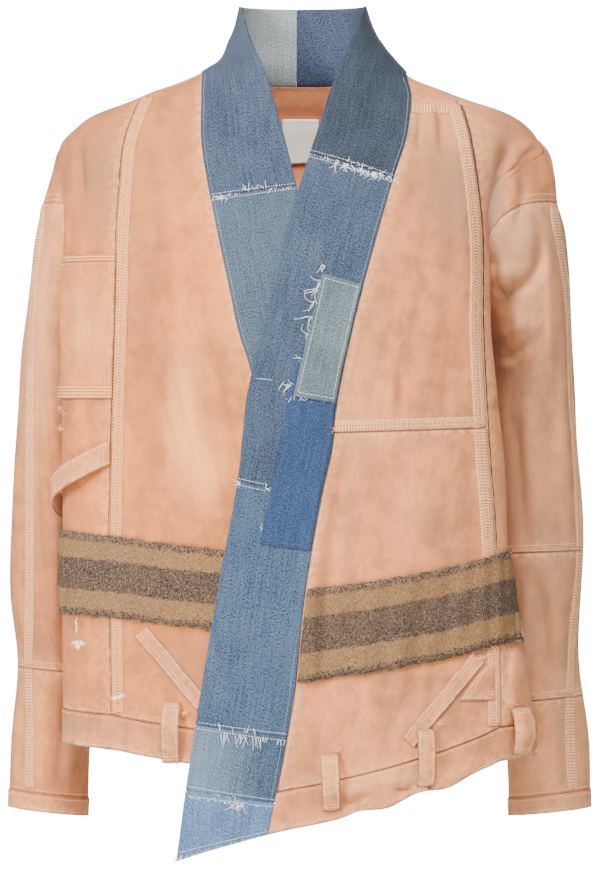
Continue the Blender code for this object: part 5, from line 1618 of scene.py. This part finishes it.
for x, z, side, count, *shape, pale in LOOSE:
    x, z = x / 1000 + chance.uniform(-0.003, 0.003, count), z / 1000 + chance.uniform(-0.002, 0.002, count)
    turn, z, lift = tuft_lines(x, z, *tuft(count, *shape, (0.5, 1.3), (0.4, 1.2)))
    ends.setdefault((side, pale), []).append((turn, z, HEM + 0.0004 + lift))
for (side, pale), found in ends.items():
    turn, z, out = (np.concatenate(part) for part in zip(*found))
    name = f"loose_ends_{WORDS[side]}_{'pale' if pale else 'dark'}"
    strands(name, turn, z, out, side, 0.00032, tan_thread if pale else wool_thread)

# White whip stitches down the left strip's outer end: turns past the end, and distances out along each
WHIP_COUNT, WHIP_REACH, WHIP_RISE = 30, (-0.040, 0.026), 0.0022
WHIP_OUT = ((0, 0.1, 0.55, 0.75, 1), (0.0026, 0.0049, 0.0051, 0.0024, 0.0014))
turn, z = blanket_lines[LEFT]
end_turn, end_z = mix(turn[:, 0], turn[:, -1], WOOL_END), z[:, -1]
at = np.linspace(0.5, len(end_z) - 1.5, WHIP_COUNT) + chance.uniform(-0.15, 0.15, WHIP_COUNT)
t = shares(9)
whip_turn, whip_z = (np.interp(at, np.arange(len(end)), end)[:, None] + reach for end, reach in
                     ((end_turn, mix(*WHIP_REACH, t)), (end_z, WHIP_RISE * t)))
strands("whip_stitches", whip_turn, whip_z, np.interp(t, *WHIP_OUT) + 0 * whip_z, LEFT, 0.00042, white_thread)


# ---- Floor, backdrop, lights and camera ------------------------------------------------------
# A white sweep: a pale floor under the jacket that bends up into a backdrop far behind it, lit by a
# large soft box at the front left, weaker ones at the right and in front, one overhead and one behind.

FLOOR_Z = -0.955
SWEEP, BEND, WALL_TOP = 30.0, 1.5, 7.0      # how far the sweep reaches, its bend's radius, and its top
PAPER, WHITE = 1.6, 18.0    # what the camera alone sees: the glow near the jacket, and the backdrop's
WORLD = 0.24
bend = np.linspace(0, math.pi / 2, 13)
sweep_y = np.concatenate([[-SWEEP], SWEEP - BEND + BEND * np.sin(bend), [SWEEP]])
sweep_z = np.concatenate([[FLOOR_Z], FLOOR_Z + BEND * (1 - np.cos(bend)), [WALL_TOP]])
corners = np.stack(matched([-SWEEP, SWEEP], sweep_y[:, None], sweep_z[:, None]), -1)
strips = 2 * np.arange(len(sweep_y) - 1)[:, None] + np.array([0, 1, 3, 2])
paper, paper_tree = new_material("paper", 0.9, 0.0)
paper_inputs = paper_tree.nodes["Principled BSDF"].inputs
paper_inputs["Base Color"].default_value = (0.9, 0.9, 0.9, 1)
paper_inputs["Emission Color"].default_value = (1, 1, 1, 1)
behind = node(paper_tree, "SeparateXYZ", {0: node(paper_tree, "TexCoord", output="Object")}, output="Y")
glow = ramp(behind, 1.0, 3.0) * (WHITE - PAPER) + PAPER
seen = node(paper_tree, "LightPath", output="Is Camera Ray")
paper_tree.links.new((seen * glow).socket, paper_inputs["Emission Strength"])
placed("sweep", made_mesh("sweep", corners, strips, paper))

world = bpy.data.worlds.new("studio")
world.use_nodes = True
world.node_tree.nodes["Background"].inputs["Color"].default_value = (1, 1, 1, 1)
world.node_tree.nodes["Background"].inputs["Strength"].default_value = WORLD
bpy.context.scene.world = world

# Each soft box: where it stands, the height it aims at, its width in metres and its power in watts
for name, place, aim, size, power in (
        ("key", (-2.5, -2.8, 0.9), -0.40, 1.0, 290.0), ("front", (-0.2, -4.4, 0.6), -0.30, 0.9, 24.0),
        ("fill", (2.8, -2.8, 0.2), -0.45, 2.0, 10.0), ("top", (0.1, -1.9, 2.3), -0.25, 1.1, 235.0),
        ("back", (0.4, 4.6, 0.5), -0.40, 1.8, 150.0)):
    lamp = bpy.data.lights.new(name, "AREA")
    lamp.shape, lamp.size, lamp.energy = "SQUARE", size, power
    light = placed(name, lamp)
    light.location = place
    way = Vector((0, 0, aim)) - Vector(place)
    light.rotation_euler = way.to_track_quat("-Z", "Y").to_euler()

lens = bpy.data.cameras.new("camera")
lens.lens = 331.0
lens.sensor_width = lens.sensor_height = 36.0
lens.sensor_fit = "AUTO"
lens.clip_end = 60.0
camera = placed("camera", lens)
camera.location = (-0.002, -8.0, -0.357)
camera.rotation_euler = (math.pi / 2, 0, 0)
bpy.context.scene.camera = camera
